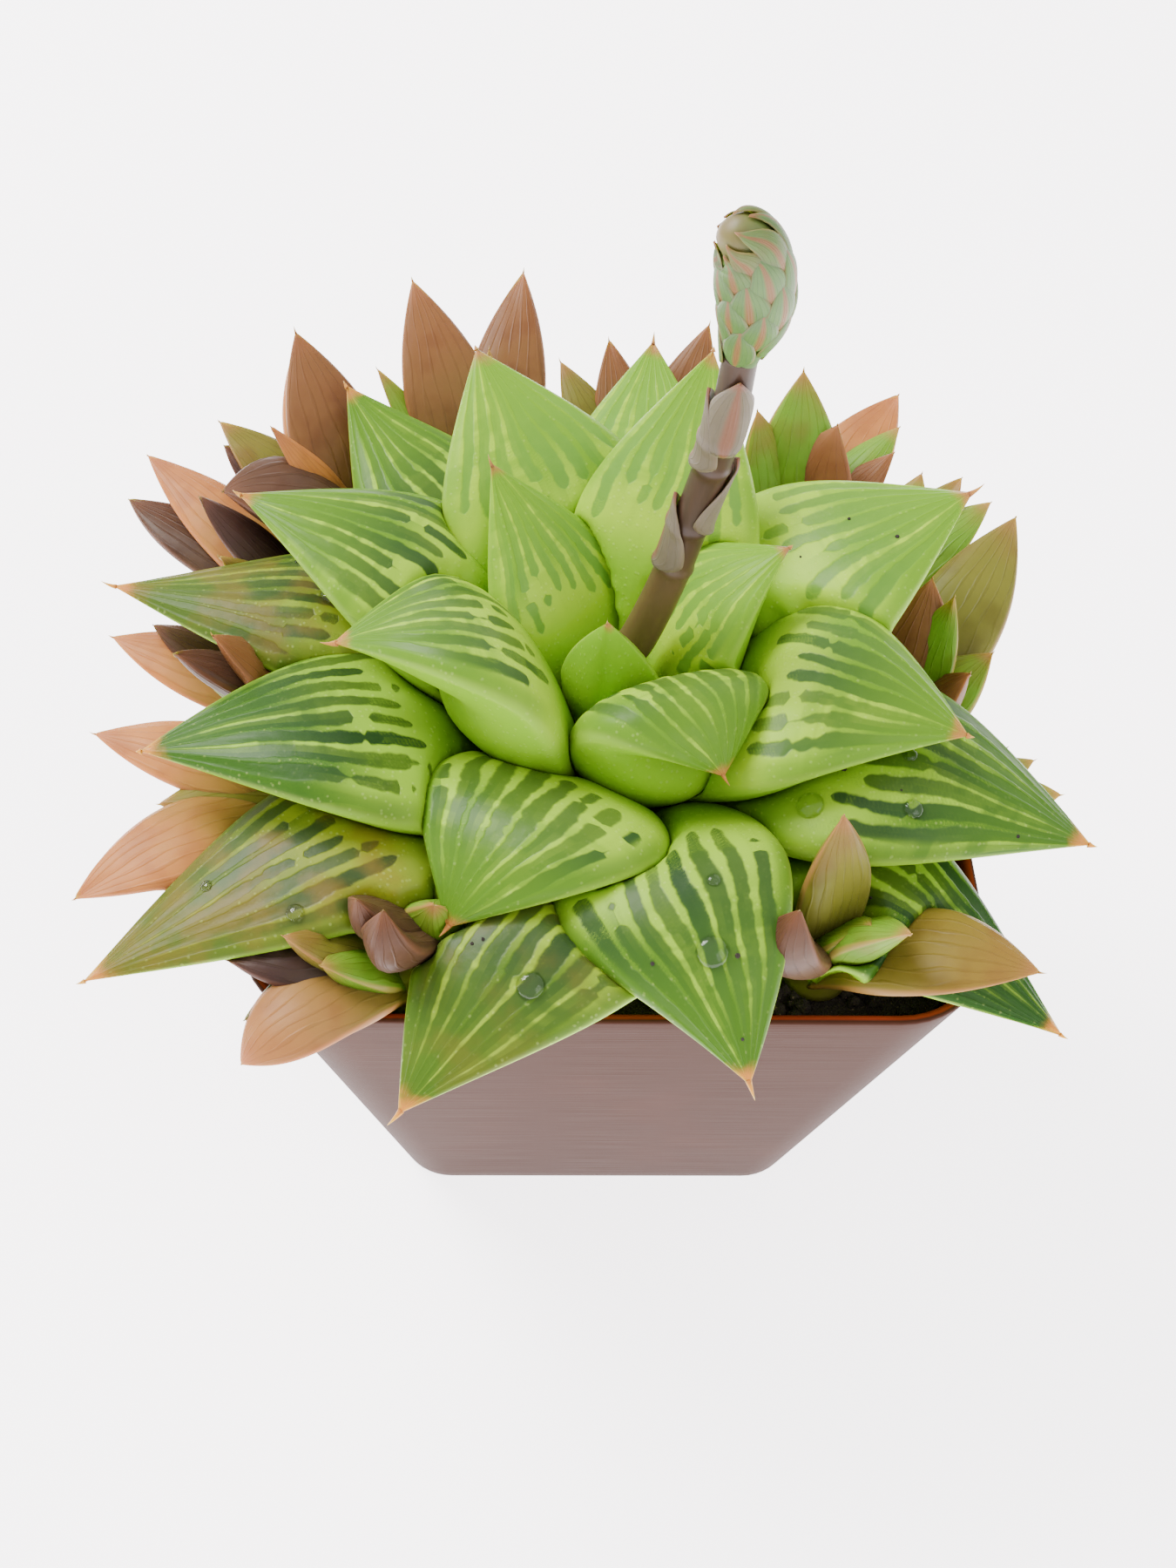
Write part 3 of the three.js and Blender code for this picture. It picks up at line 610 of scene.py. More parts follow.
# Veins and patches are darker. Pale leaves are greener low down and flushed towards the tip.
dark = blend(1.0, skin, (0.5, 0.42, 0.38), "MULTIPLY")
patchy = cloud(tree, 260.0, 2.0)
colour = blend(vein * 0.2, skin, dark)
colour = blend(step(patchy, 0.45, 0.7) * 0.5, colour, dark)
edge = step(abs(across), 0.93, 0.985)
pale_skin = step(read(tree, "skin"), 0.04, 0.2) * 0.85 + 0.15
uneven = patchy * 0.5 + along
low_down = 1.0 - step(uneven, 0.6, 1.05)
colour = blend(low_down * (pale_skin * 0.6), colour, (0.12, 0.13, 0.02))
flush = step(uneven, 0.95, 1.3) * pale_skin
colour = blend(flush * 0.45, colour, (0.4, 0.13, 0.05))
colour = blend(edge * (pale_skin * 0.5), colour, (0.5, 0.18, 0.08))
tipped = step(along, 0.9, 1.0) * pale_skin
colour = blend(tipped * 0.8, colour, (0.45, 0.16, 0.07))
feed(shader.inputs["Base Color"], colour)
bump(shader, vein + grain, 0.08 * MM, 0.5)
fleshy(shader, 0.3, 1.0 * MM)

# %% Table of the offsets
TONES = {
    "brown": (0.18, 0.075, 0.025),
    "peach": (0.48, 0.18, 0.045),
    "tan": (0.34, 0.15, 0.045),
    "mauve": (0.07, 0.033, 0.018),
    "plum": (0.045, 0.022, 0.018),
    "gold": (0.22, 0.145, 0.02),
    "olive": (0.16, 0.15, 0.02),
    "green": (0.13, 0.28, 0.016),
    "dark": (0.035, 0.08, 0.014),
}
# Rows: the tip's X, Y and Z, width, thickness, how much steeper it starts and flatter it ends, and tone.
OFFSETS = [
    ["offset_back_left", -11, 21, [
        [-18, 38.5, 64, 8.5, 4, 20, 15, "brown"],
        [-8, 43, 62, 7.5, 3.5, 20, 15, "brown"],
        [-21, 31, 60, 4, 2.5, 20, 10, "green"],
        [-11, 34, 60, 5, 3, 20, 10, "olive"],
    ]],
    ["offset_left_back", -21, 17.5, [
        [-28, 32, 63, 8.5, 4, 20, 15, "brown"],
        [-29, 37.5, 58, 9, 3.5, 20, 15, "peach"],
        [-35, 27, 57, 7, 3, 20, 15, "olive"],
        [-34.5, 25, 56, 6, 3, 20, 10, "plum"],
        [-29, 20.5, 62, 4.5, 2.5, 15, 10, "peach"],
        [-32.5, 14, 60.5, 11, 5, 35, 40, "mauve"],
    ]],
    ["offset_left", -23.5, 8.5, [
        [-41, 23.5, 56, 7, 3.5, 30, 15, "peach"],
        [-34.5, 14, 60, 4.5, 3, 20, 10, "plum"],
        [-42.5, 20, 54, 6, 3.5, 30, 10, "mauve"],
        [-32.5, 9, 58, 5, 3, 20, 10, "olive"],
    ]],
    ["offset_left_low", -24, -0.5, [
        [-41.5, 4.5, 53, 7.5, 3, 35, 15, "peach"],
        [-38, 5, 54, 5, 3, 30, 10, "mauve"],
        [-34, -3.5, 60, 4.5, 3, 20, 10, "mauve"],
        [-31, -2.5, 61, 7, 3, 15, 5, "brown"],
        [-33, -2.5, 57, 4, 3, 15, 5, "green"],
    ]],
    ["offset_left_front", -23.5, -9, [
        [-41.5, -5, 52, 7, 3.5, 35, 20, "peach"],
        [-35.5, -11.5, 51.5, 6, 3, 30, 20, "olive"],
        [-40.5, -20, 51, 8, 3.5, 35, 25, "peach"],
    ]],
    ["offset_front_left", -16.5, -24, [
        [-27, -32.5, 49, 7, 3.5, 50, 45, "tan"],
        [-27, -29.5, 50, 5, 3, 45, 35, "dark"],
        [-29, -25, 52, 6, 4, 35, 15, "plum"],
        [-21.3, -27.3, 54, 4.5, 3, 20, 10, "green"],
        [-24, -25.5, 55, 4, 3.5, 20, 5, "olive"],
    ]],
    ["offset_front", -13.5, -19, [
        [-18.5, -25, 59, 5.5, 3.2, 10, -20, "mauve"],
        [-16.5, -26.5, 60, 4.8, 3.4, 5, -45, "mauve"],
        [-13.5, -23.5, 56, 6, 4, 5, -5, "green"],
    ]],
    ["offset_front_right", 15.5, -22, [
        [29.5, -27.9, 54.5, 8, 3.5, 20, 25, "gold"],
        [19.6, -27.2, 58.5, 4.5, 3, 10, 15, "green"],
        [15, -20.5, 63, 5.8, 3.5, 5, 5, "olive"],
        [17.5, -25, 56, 5, 3, 10, 5, "green"],
        [11.8, -26.3, 60, 4.6, 3.4, 5, -35, "mauve"],
    ]],
    ["offset_right", 23.5, -1.5, [
        [34.5, 15, 58, 8, 4, 25, 10, "olive"],
        [25.5, 5.5, 60, 7, 3.5, 5, 5, "brown"],
        [27, 3.5, 60, 5, 2.5, 10, -5, "green"],
        [31, 2, 55, 6.5, 3.5, 25, 5, "green"],
        [28, -2, 57, 6, 3, 10, 0, "brown"],
        [31.5, -5.5, 52, 6.5, 4.5, 30, -10, "green"],
    ]],
    ["offset_right_front", 23.5, -9.5, [
        [35.5, -9.5, 51, 6.5, 3, 35, 20, "green"],
        [34, -6, 51, 5, 3, 35, 15, "green"],
    ]],
    ["offset_back_right", 16.5, 19, [
        [16.5, 26.5, 64, 8, 4, 15, 5, "green"],
        [12.5, 23.5, 62, 7, 4, 10, -5, "green"],
        [19.5, 23, 61, 8.5, 4, 10, 5, "brown"],
        [26.5, 31, 58, 8, 3.5, 30, 15, "peach"],
        [26, 26.5, 58, 6, 3, 25, 15, "green"],
        [25, 23, 58, 6, 3, 15, 5, "brown"],
    ]],
    ["offset_right_back", 23, 13.5, [
        [31, 21, 57, 6, 3, 25, 10, "olive"],
        [33.5, 19, 56, 6, 3, 25, 15, "green"],
        [27.5, 21.5, 57, 6, 3, 20, 10, "green"],
        [30, 17.5, 55, 6, 3.5, 15, 5, "green"],
    ]],
    ["offset_back", 3, 22.5, [
        [0, 37, 59, 6, 3, 25, 15, "brown"],
        [-4.5, 35, 58, 6, 3, 25, 15, "olive"],
        [9, 35.5, 62, 7, 3.5, 15, 10, "brown"],
        [12.5, 29.5, 60, 6, 3, 10, 5, "olive"],
    ]],
]
print(len(OFFSETS), "offsets with", sum(len(row[3]) for row in OFFSETS), "leaves")

# %% Building the offsets
OFFSET_RINGS, OFFSET_SIDES, OFFSET_STRIPES = 44, 30, 7
OFFSET_STEM = (2.6 * MM, 1.4 * MM, 4 * MM)
OFFSET_DENT = 0.6 * MM
rng = np.random.default_rng(7)


def offset_leaf(crown, row):
    x, y, z, width, thickness, steeper, flatter, tone = row
    withered = tone in ("mauve", "plum") or flatter > 40
    tip = placed(x, y, z)
    rise = math.atan2(tip[2] - crown[2], math.hypot(*(tip - crown)[:2]))
    return dict(
        base=crown, tip=tip, azimuth=math.atan2(tip[1] - crown[1], tip[0] - crown[0]),
        width=width * MM, thickness=thickness * MM,
        launch=min(rise + math.radians(steeper), math.radians(100)),
        arrive=rise - math.radians(flatter), keep=(0.4, 0.4), twist=0.0, start=0.0, bow=0.0,
        knee=0.5, blunt=3.2 if withered else 2.2, hook=0.3 if withered else 1.0,
    )


def stem_points(x, y, foot, top, height, rings=10, sides=32):
    """A short upright stem that flares at its foot."""
    share = np.linspace(0, 1, rings)[:, None]
    angle = turns(sides)
    radius = foot + (top - foot) * share**0.7
    z = SOIL_TOP + 0.3 * MM + height * share + 0 * angle
    grid = np.stack([x + radius * np.cos(angle), y + radius * np.sin(angle), z], -1)
    return closed_tube(grid, [x, y, z[0, 0]], [x, y, z[-1, 0]])


# %% Every offset, in the order in which they press on each other
def add_offset(name, x, y, rows, seed):
    """All leaves of one offset in one mesh. They give way to what was made before, not to each other."""
    crown = np.array([x * MM, y * MM, SOIL_TOP + 1.3 * MM])
    points, faces = stem_points(x * MM, y * MM, *OFFSET_STEM)
    numbers = {key: np.zeros(len(points)) for key in ("along", "across", "upper", "stripe")}
    numbers["skin"] = np.tile(TONES["olive"], (len(points), 1))
    bodies, outside = [(points, faces, numbers)], list(made_trees)
    for i, row in enumerate(rows):
        leaf, grid = offset_leaf(crown, row), (OFFSET_RINGS, OFFSET_SIDES, OFFSET_STRIPES)
        points, faces, numbers = leaf_body(leaf, *grid, seed + i, outside, OFFSET_DENT)
        remember(points, faces)
        numbers["skin"] = np.tile(np.array(TONES[row[7]]) * rng.uniform(0.85, 1.15), (len(points), 1))
        bodies.append((points, faces, numbers))
    points, faces, numbers = joined(bodies)
    piece = make_object(name + "_fine", points, faces, offset_skin, numbers)
    belongs(piece, "offset_skin", name)
    return piece


OVER_OUTERMOST = ("offset_front", "offset_front_right")
seeds = {row[0]: 3.0 * i for i, row in enumerate(OFFSETS)}
over = [add_offset(*row, seeds[row[0]]) for row in OFFSETS if row[0] in OVER_OUTERMOST]
outermost = [add_leaf(main_leaf(row), 9.1 + 0.37 * i) for i, row in enumerate(MAIN_LEAVES[-OUTERMOST:])]
rest = [add_offset(*row, seeds[row[0]]) for row in OFFSETS if row[0] not in OVER_OUTERMOST]
print(len(over + rest), "offsets,", sum(len(p.data.polygons) for p in over + rest), "faces")

# %% [markdown]
# ## The pot
# The pot is moulded in one piece: a thin shell with a square section and round corners, narrower at the
# foot. A loft through rounded squares gives the walls a soft edge at the rim and at the foot, and four
# cylinders cut the drain holes. The outside is hazed and faintly streaked; the rim and the inside are redder.

# %% Material of the pot
pot_plastic, tree, shader = new_material("pot plastic", 0.45, 0.06)
where = add_node(tree, "ShaderNodeUVMap", {}, uv_map="wall")
streak = cloud(tree, 1.0, 3.0, where, (14.0, 420.0, 1.0))
smudge = cloud(tree, 60.0, 3.0)
outside = blend(streak, (0.05, 0.015, 0.006), (0.032, 0.0095, 0.004))
outside = blend(step(smudge, 0.5, 0.75) * 0.35, outside, (0.066, 0.018, 0.008))
inner = blend(smudge, (0.2, 0.024, 0.008), (0.25, 0.038, 0.014))
colour = blend(read(tree, "inside"), outside, inner)
feed(shader.inputs["Base Color"], colour)
feed(shader.inputs["Roughness"], streak * 0.25 + 0.42)
bump(shader, streak, 0.05 * MM, 0.5)


# %% Rounded squares
def square_ring(width, corner, z, per_corner=12, per_side=10):
    """Points round a square with rounded corners, evenly spaced on its straight sides."""
    half = width / 2 - corner
    points = []
    for quarter in range(4):
        turn = quarter * np.pi / 2
        middle = np.array([half * (1 if quarter in (0, 3) else -1), half * (1 if quarter < 2 else -1)])
        for a in np.linspace(turn, turn + np.pi / 2, per_corner):
            points.append(middle + corner * np.array([math.cos(a), math.sin(a)]))
        after = turn + np.pi / 2
        begin = middle + corner * np.array([math.cos(after), math.sin(after)])
        side_way = np.array([math.cos(after + np.pi / 2), math.sin(after + np.pi / 2)])
        for share in np.linspace(0, 1, per_side + 2)[1:-1]:
            points.append(begin + side_way * 2 * half * share)
    return np.array([[p[0], p[1], z] for p in points])


def wall_width(z):
    return FOOT_WIDTH + (RIM_WIDTH - FOOT_WIDTH) * z / POT_HEIGHT


def wall_ring(inset, z):
    width = wall_width(z)
    return square_ring(width - 2 * inset, RIM_CORNER * width / RIM_WIDTH - inset, z)


# %% Profile and shell of the pot
EDGE = WALL / 2
profile = [(EDGE * 4, 0.0), (EDGE * 1.6, 0.0), (EDGE * 0.5, EDGE * 0.35), (0, EDGE * 1.4)]
profile += [(0, z) for z in np.linspace(2 * MM, POT_HEIGHT - EDGE, 30)]
outer_rings = len(profile) + 3
rim_turn = np.linspace(0, np.pi, 9)[1:]
profile += [(EDGE - EDGE * math.cos(a), POT_HEIGHT - EDGE + EDGE * math.sin(a)) for a in rim_turn]
profile += [(WALL, z) for z in np.linspace(POT_HEIGHT - 2 * EDGE, FLOOR + 1 * MM, 20)]
profile += [(WALL + 0.4 * MM, FLOOR + 0.2 * MM), (WALL + 1 * MM, FLOOR)]
rings = [wall_ring(inset, z) for inset, z in profile]
points, faces = closed_tube(rings, (0, 0, 0), (0, 0, FLOOR))
inside = np.append(np.repeat(np.arange(len(rings)) >= outer_rings, len(rings[0])), [0, 1])
pot = make_object("pot_shell", points, faces, pot_plastic, {"inside": inside})
wall_map = pot.data.uv_layers.new(name="wall")
for loop in pot.data.loops:
    p = pot.data.vertices[loop.vertex_index].co
    wall_map.data[loop.index].uv = (math.atan2(p.y, p.x) / math.tau, p.z / POT_HEIGHT)

# %% Drain holes
DRAIN_RADIUS, DRAIN_PLACE = 2.5 * MM, 11 * MM
SQUARE = [(-1, -1), (1, -1), (1, 1), (-1, 1)]
holes = bmesh.new()
for x, y in SQUARE:
    bmesh.ops.create_cone(
        holes, cap_ends=True, segments=40, radius1=DRAIN_RADIUS, radius2=DRAIN_RADIUS, depth=4 * FLOOR,
        matrix=Matrix.Translation((x * DRAIN_PLACE, y * DRAIN_PLACE, FLOOR / 2)),
    )
cutter_mesh = bpy.data.meshes.new("drain_holes")
holes.to_mesh(cutter_mesh)
holes.free()
cutter = bpy.data.objects.new("drain_holes", cutter_mesh)
bpy.context.scene.collection.objects.link(cutter)
cut = pot.modifiers.new("drains", "BOOLEAN")
cut.object, cut.operation, cut.solver = cutter, "DIFFERENCE", "EXACT"
shown = bpy.data.meshes.new_from_object(pot.evaluated_get(bpy.context.evaluated_depsgraph_get()))
pot.modifiers.clear()
pot.data = shown
bpy.data.objects.remove(cutter)
belongs(pot, "pot_plastic", "pot")
print("pot faces:", len(pot.data.polygons))

# %% [markdown]
# ## The soil
# The soil is a dark block with crumbs on top. Scattering crumbs is work for Geometry Nodes: points are
# spread on the top face, each gets a small rough lump of its own size and turn, and all are made real.

# %% Material of the soil
soil_mix, tree, shader = new_material("potting mix", 0.95)
lumps = cloud(tree, 500.0, 4.0)
fine = cloud(tree, 2500.0, 2.0)
colour = blend(lumps, (0.006, 0.005, 0.004), (0.045, 0.03, 0.02))
colour = blend(step(fine, 0.66, 0.72), colour, (0.16, 0.11, 0.07))
feed(shader.inputs["Base Color"], colour)
bump(shader, lumps + fine, 0.5 * MM, 1.0)

# %% Building the soil
SOIL_INSET = WALL + 0.3 * MM
soil_rings = [wall_ring(SOIL_INSET, z) for z in np.linspace(soil_low.z, SOIL_TOP - 0.4 * MM, 12)]
insets = [inset * MM for inset in np.linspace(0.3, 26, 60) if inset < 6]
soil_rings += [wall_ring(SOIL_INSET + inset, SOIL_TOP) for inset in insets]
outline = soil_rings[-1].copy()
for share in np.linspace(0.97, 0.05, 50):
    soil_rings.append(outline * np.array([share, share, 1]))
points, faces = closed_tube(soil_rings, (0, 0, soil_low.z), (0, 0, SOIL_TOP))
top = points[:, 2] > SOIL_TOP - 0.1 * MM
x, y = points[:, 0], points[:, 1]
waves = np.sin(x * 900) * np.sin(y * 700 + 1) + 0.5 * np.sin(x * 2100 + y * 1700)
points[:, 2] += np.where(top, (waves - 1.2) * 0.3 * MM, 0)
soil = make_object("soil_block", points, faces, soil_mix)
belongs(soil, "soil_mix", "soil")
print("soil faces:", len(soil.data.polygons))


# %% Groups that spread things over a mesh
def new_group(name, sizes):
    """A Geometry Nodes tree, the identifiers of its named inputs, and those inputs as shades."""
    tree = bpy.data.node_groups.new(name, "GeometryNodeTree")
    kinds = {"Mesh": "Geometry", **{key: "Float" for key in sizes}, "Seed": "Int", "Material": "Material"}
    names = {}
    for key, kind in kinds.items():
        socket = tree.interface.new_socket(name=key, in_out="INPUT", socket_type="NodeSocket" + kind)
        names[key] = socket.identifier
    tree.interface.new_socket(name="Mesh", in_out="OUTPUT", socket_type="NodeSocketGeometry")
    inputs = tree.nodes.new("NodeGroupInput").outputs
    return tree, names, {key: Shade(inputs[key]) for key in kinds}


def spread_lumps(tree, given, lump, turn=None):
    """Lumps of random sizes on the given mesh, lying on its faces or turned by turn, and made real."""
    inputs = {key: given[key] for key in ("Mesh", "Density", "Seed")}
    points = add_node(tree, "GeometryNodeDistributePointsOnFaces", inputs, "Points")
    size = {2: given["Smallest"], 3: given["Largest"], "Seed": given["Seed"]}
    size = add_node(tree, "FunctionNodeRandomValue", size, 1, data_type="FLOAT")
    inputs = {"Points": points, "Instance": lump, "Rotation": turn or points.other("Rotation"), "Scale": size}
    put = add_node(tree, "GeometryNodeInstanceOnPoints", inputs)
    return add_node(tree, "GeometryNodeRealizeInstances", {0: put})


def close_group(tree, given, body):
    """Paints the body and makes it the group's result."""
    inputs = {"Geometry": body, "Material": given["Material"]}
    painted = add_node(tree, "GeometryNodeSetMaterial", inputs)
    feed(tree.nodes.new("NodeGroupOutput").inputs[0], painted)


# %% The group for crumbs
def crumb_group():
    """Spreads rough lumps over the faces of a mesh."""
    tree, names, given = new_group("crumbs", ("Density", "Smallest", "Largest"))
    lump = add_node(tree, "GeometryNodeMeshIcoSphere", {"Radius": 1.0, "Subdivisions": 2})
    turn = {1: (6.28, 6.28, 6.28), "Seed": given["Seed"]}
    turn = add_node(tree, "FunctionNodeRandomValue", turn, 0, data_type="FLOAT_VECTOR")
    body = spread_lumps(tree, given, lump, turn)
    rough = add_node(tree, "ShaderNodeTexNoise", {"Scale": 1400.0}, "Color")
    rough = add_node(tree, "ShaderNodeVectorMath", {0: rough, 1: (0.5, 0.5, 0.5)}, operation="SUBTRACT")
    shift = add_node(tree, "ShaderNodeVectorMath", {0: rough, "Scale": given["Largest"]}, operation="SCALE")
    close_group(tree, given, add_node(tree, "GeometryNodeSetPosition", {"Geometry": body, "Offset": shift}))
    return tree, names


# %% Making a group's result plain
def made_by(group, source, name, **settings):
    """The plain mesh that a node tree makes from a source mesh, with a setting for each named input."""
    tree, names = group
    carrier = bpy.data.objects.new(name, source)
    bpy.context.scene.collection.objects.link(carrier)
    modifier = carrier.modifiers.new(name, "NODES")
    modifier.node_group = tree
    for key, value in settings.items():
        modifier[names[key]] = value
    graph = bpy.context.evaluated_depsgraph_get()
    graph.update()
    result = bpy.data.meshes.new_from_object(carrier.evaluated_get(graph))
    carrier.modifiers.clear()
    carrier.data = result
    return carrier


# %% Crumbs on the soil
crumbs = crumb_group()
top_mesh = bpy.data.meshes.new("soil_top")
half = wall_width(SOIL_TOP) / 2 - WALL - 1 * MM
corners = [(half * x, half * y, SOIL_TOP) for x, y in SQUARE]
top_mesh.from_pydata(corners, [], [(0, 1, 2, 3)])
crumb_piece = made_by(
    crumbs, top_mesh, "soil_crumbs", Density=5e5, Smallest=0.2 * MM, Largest=0.8 * MM,
    Seed=4, Material=soil_mix,
)
belongs(crumb_piece, "soil_mix")
print("crumb faces:", len(crumb_piece.data.polygons))

# %% [markdown]
# ## Stem, stalk, scales and bud
# The short stem hides under the leaves. The flower stalk leaves it between the inner leaves, brown and
# smooth, with a ring where each papery scale clasps it, and ends in a head of packed buds that hooks over.

# %% Materials of stalk, scales and bud
stem_tissue, tree, shader = new_material("stem tissue", 0.6)
colour = blend(cloud(tree, 400.0, 3.0), (0.3, 0.34, 0.12), (0.42, 0.4, 0.2))
feed(shader.inputs["Base Color"], colour)

stalk_skin, tree, shader = new_material("stalk skin", 0.38, 0.3)
along = read(tree, "along")
streaks = cloud(tree, 300.0, 3.0, None, (6.0, 6.0, 1.0))
colour = blend(step(along, 0.2, 0.5), (0.12, 0.078, 0.03), (0.025, 0.012, 0.007))
colour = blend(streaks * 0.5, colour, (0.09, 0.045, 0.024))
feed(shader.inputs["Base Color"], colour)
bump(shader, streaks, 0.05 * MM, 0.4)
fleshy(shader, 0.15, 0.6 * MM)


def scale_material(name, pale, red, green, edged):
    """A papery scale: pale, with a reddish midrib and edges and faint veins between."""
    material, tree, shader = new_material(name, 0.5)
    across, along = abs(read(tree, "across")), read(tree, "along")
    wavy = cloud(tree, 700.0, 2.0)
    rib = 1.0 - step(across, 0.09, 0.26)
    edge = step(wavy * 0.1 + across, 0.88, 1.0)
    veins = step(calc("SINE", across * 26.0), 0.6, 1.0)
    colour = blend(wavy, pale, green)
    colour = blend(veins * 0.35, colour, green)
    marked = calc("MAXIMUM", rib * 0.8, edge * edged)
    colour = blend(marked, colour, red)
    colour = blend(step(along, 0.85, 1.0), colour, red)
    top = step(wavy * 0.2 + read(tree, "height"), 0.85, 1.15)
    colour = blend(top * 0.6, colour, red)
    feed(shader.inputs["Base Color"], colour)
    bump(shader, veins, 0.05 * MM, 0.5)
    fleshy(shader, 0.3, 0.8 * MM)
    return material


BRACT_TONES = (0.13, 0.1, 0.062), (0.15, 0.045, 0.018), (0.08, 0.062, 0.035)
BUD_TONES = (0.09, 0.18, 0.03), (0.2, 0.07, 0.02), (0.04, 0.1, 0.018)
bract_paper = scale_material("bract paper", *BRACT_TONES, 0.1)
bud_skin = scale_material("bud skin", *BUD_TONES, 0.35)

# %% Lines that the stalk and the bud follow
STALK_LINE = [
    [0.3, -1, 57.3], [1.6, -1.1, 60], [3.5, -1.4, 67], [5.1, -1.5, 75], [6.1, -2.3, 82], [6.4, -2.9, 88],
]
BUD_LINE = [[6.35, -2.8, 87], [6.8, -3.2, 92.2], [5.9, -3.7, 96.2], [4.2, -4.1, 97.6]]
BRACTS = [(0.36, 190), (0.49, -10), (0.68, 200), (0.76, 90)]
STALK_FOOT, STALK_TOP = 1.5 * MM, 1.15 * MM
BUD_RADIUS = 2.5 * MM
BRACT_LENGTH, BRACT_THICKNESS = 6.6 * MM, 0.25 * MM


# %% Bodies that follow a line
def smooth_line(points, shares):
    """A Catmull-Rom curve through points, at shares of its length, with two directions square to it."""
    p = np.array([placed(*point) for point in points])
    p = np.vstack([2 * p[0] - p[1], p, 2 * p[-1] - p[-2]])
    fine = []
    for i in range(1, len(p) - 2):
        for t in np.linspace(0, 1, 40, endpoint=False):
            a, b, c, d = p[i - 1 : i + 3]
            bend, twist = 2 * a - 5 * b + 4 * c - d, 3 * b - a - 3 * c + d
            fine.append(0.5 * (2 * b + (c - a) * t + bend * t**2 + twist * t**3))
    fine = np.array(fine + [p[-2]])
    length = np.append(0, np.cumsum(np.linalg.norm(np.diff(fine, axis=0), axis=1)))
    at, slopes = np.asarray(shares) * length[-1], np.gradient(fine, axis=0)
    places, ways = (np.stack([np.interp(at, length, v[:, k]) for k in range(3)], 1) for v in (fine, slopes))
    ways /= np.linalg.norm(ways, axis=1)[:, None]
    first = np.array([1.0, 0, 0]) - ways * ways[:, :1]
    first /= np.linalg.norm(first, axis=1)[:, None]
    return places, first, np.cross(first, ways), length[-1]


def around(first, second, angle):
    """Directions round a line, turned by an angle from first towards second."""
    return first[:, None] * np.cos(angle)[..., None] + second[:, None] * np.sin(angle)[..., None]


def round_body(line, radius, rings, sides):
    share = np.linspace(0, 1, rings)
    places, first, second, _ = smooth_line(line, share)
    grid = places[:, None] + radius(share)[:, None, None] * around(first, second, turns(sides))
    return *closed_tube(grid, places[0], places[-1]), np.append(np.repeat(share, sides), [0, 1])


# %% Stem and stalk
points, faces = stem_points(HEART[0], HEART[1], 5.5 * MM, 1.6 * MM, 12 * MM, 24, 48)
stem = make_object("rosette_stem_fine", points, faces, stem_tissue)
belongs(stem, "stem_tissue", "rosette_stem")


def stalk_radius(share):
    knots = sum(0.12 * MM * np.exp(-(((share - at) / 0.012) ** 2)) for at, _ in BRACTS)
    return STALK_FOOT + (STALK_TOP - STALK_FOOT) * share + knots


points, faces, along_stalk = round_body(STALK_LINE, stalk_radius, 160, 40)
stalk = make_object("flower_stalk_fine", points, faces, stalk_skin, {"along": along_stalk})
belongs(stalk, "stalk_skin", "flower_stalk")


# %% [markdown]
# A scale is a thin curved sheet wrapped round a line: wide at its foot and pointed at its tip. The same
# function wraps the bracts round the stalk and the bud scales round the bud.

# %% Scales that wrap a line
def wrapped_scale(line, radius, at, span, azimuth, spread, lift, thickness, rows=26, columns=22):
    """A closed thin sheet from share at to at + span of a line, centred on an azimuth."""
    along = np.linspace(0, 1, rows)
    places, first, second, _ = smooth_line(line, np.clip(at + span * along, 0, 1))
    across = np.linspace(-1, 1, columns)
    reach = spread * np.sin(np.clip(along * 4 + 0.25, 0, 1) * np.pi / 2) * (1 - along**2.2) + 0.02
    angle = math.radians(azimuth) + across[None, :] * reach[:, None]
    base = radius(at + span * along) + lift(along)
    layers = []
    for extra in (0, thickness):
        edge_thin = extra * (1 - 0.7 * np.abs(across) ** 4)[None, :]
        r = (base[:, None] + edge_thin)[..., None]
        layers.append(places[:, None] + r * around(first, second, angle))
    points = np.concatenate([layers[0].reshape(-1, 3), layers[1].reshape(-1, 3)])
    size = rows * columns
    faces = []
    for i in range(rows - 1):
        for j in range(columns - 1):
            a, b = i * columns + j, (i + 1) * columns + j
            faces.append((a, b, b + 1, a + 1))
            faces.append((size + a, size + a + 1, size + b + 1, size + b))
    number = np.arange(size).reshape(rows, columns)
    border = [*number[0], *number[1:, -1], *number[-1, -2::-1], *number[-2:0:-1, 0]]
    for a, b in zip(border, border[1:] + border[:1]):
        faces.append((a, b, size + b, size + a))
    numbers = {
        "height": np.full(2 * size, at + span * 0.5 if line is BUD_LINE else 0.0),
        "along": np.tile(np.repeat(along, columns), 2),
        "across": np.tile(across, 2 * rows),
    }
    return points, fair(points, faces), numbers


stalk_length = smooth_line(STALK_LINE, [0, 1])[-1]
for i, (at, azimuth) in enumerate(BRACTS):
    points, faces, numbers = wrapped_scale(
        STALK_LINE, stalk_radius, at, BRACT_LENGTH / stalk_length, azimuth, 1.9,
        lambda s: 0.08 * MM + 0.25 * MM * s**2, BRACT_THICKNESS,
    )
    bract = make_object(f"bract_{i + 1}_fine", points, faces, bract_paper, numbers)
    belongs(bract, "bract_paper", f"bract_{i + 1}")


# %% The bud head
def bud_radius(share):
    share = np.clip(share, 0, 1)
    filled = eased(np.clip(share / 0.5, 0, 1))
    round_top = np.sqrt(np.maximum(0, 1 - (np.maximum(0, share - 0.55) / 0.45) ** 2))
    return (1.1 * MM + (BUD_RADIUS - 1.45 * MM) * filled) * (0.12 + 0.88 * round_top)


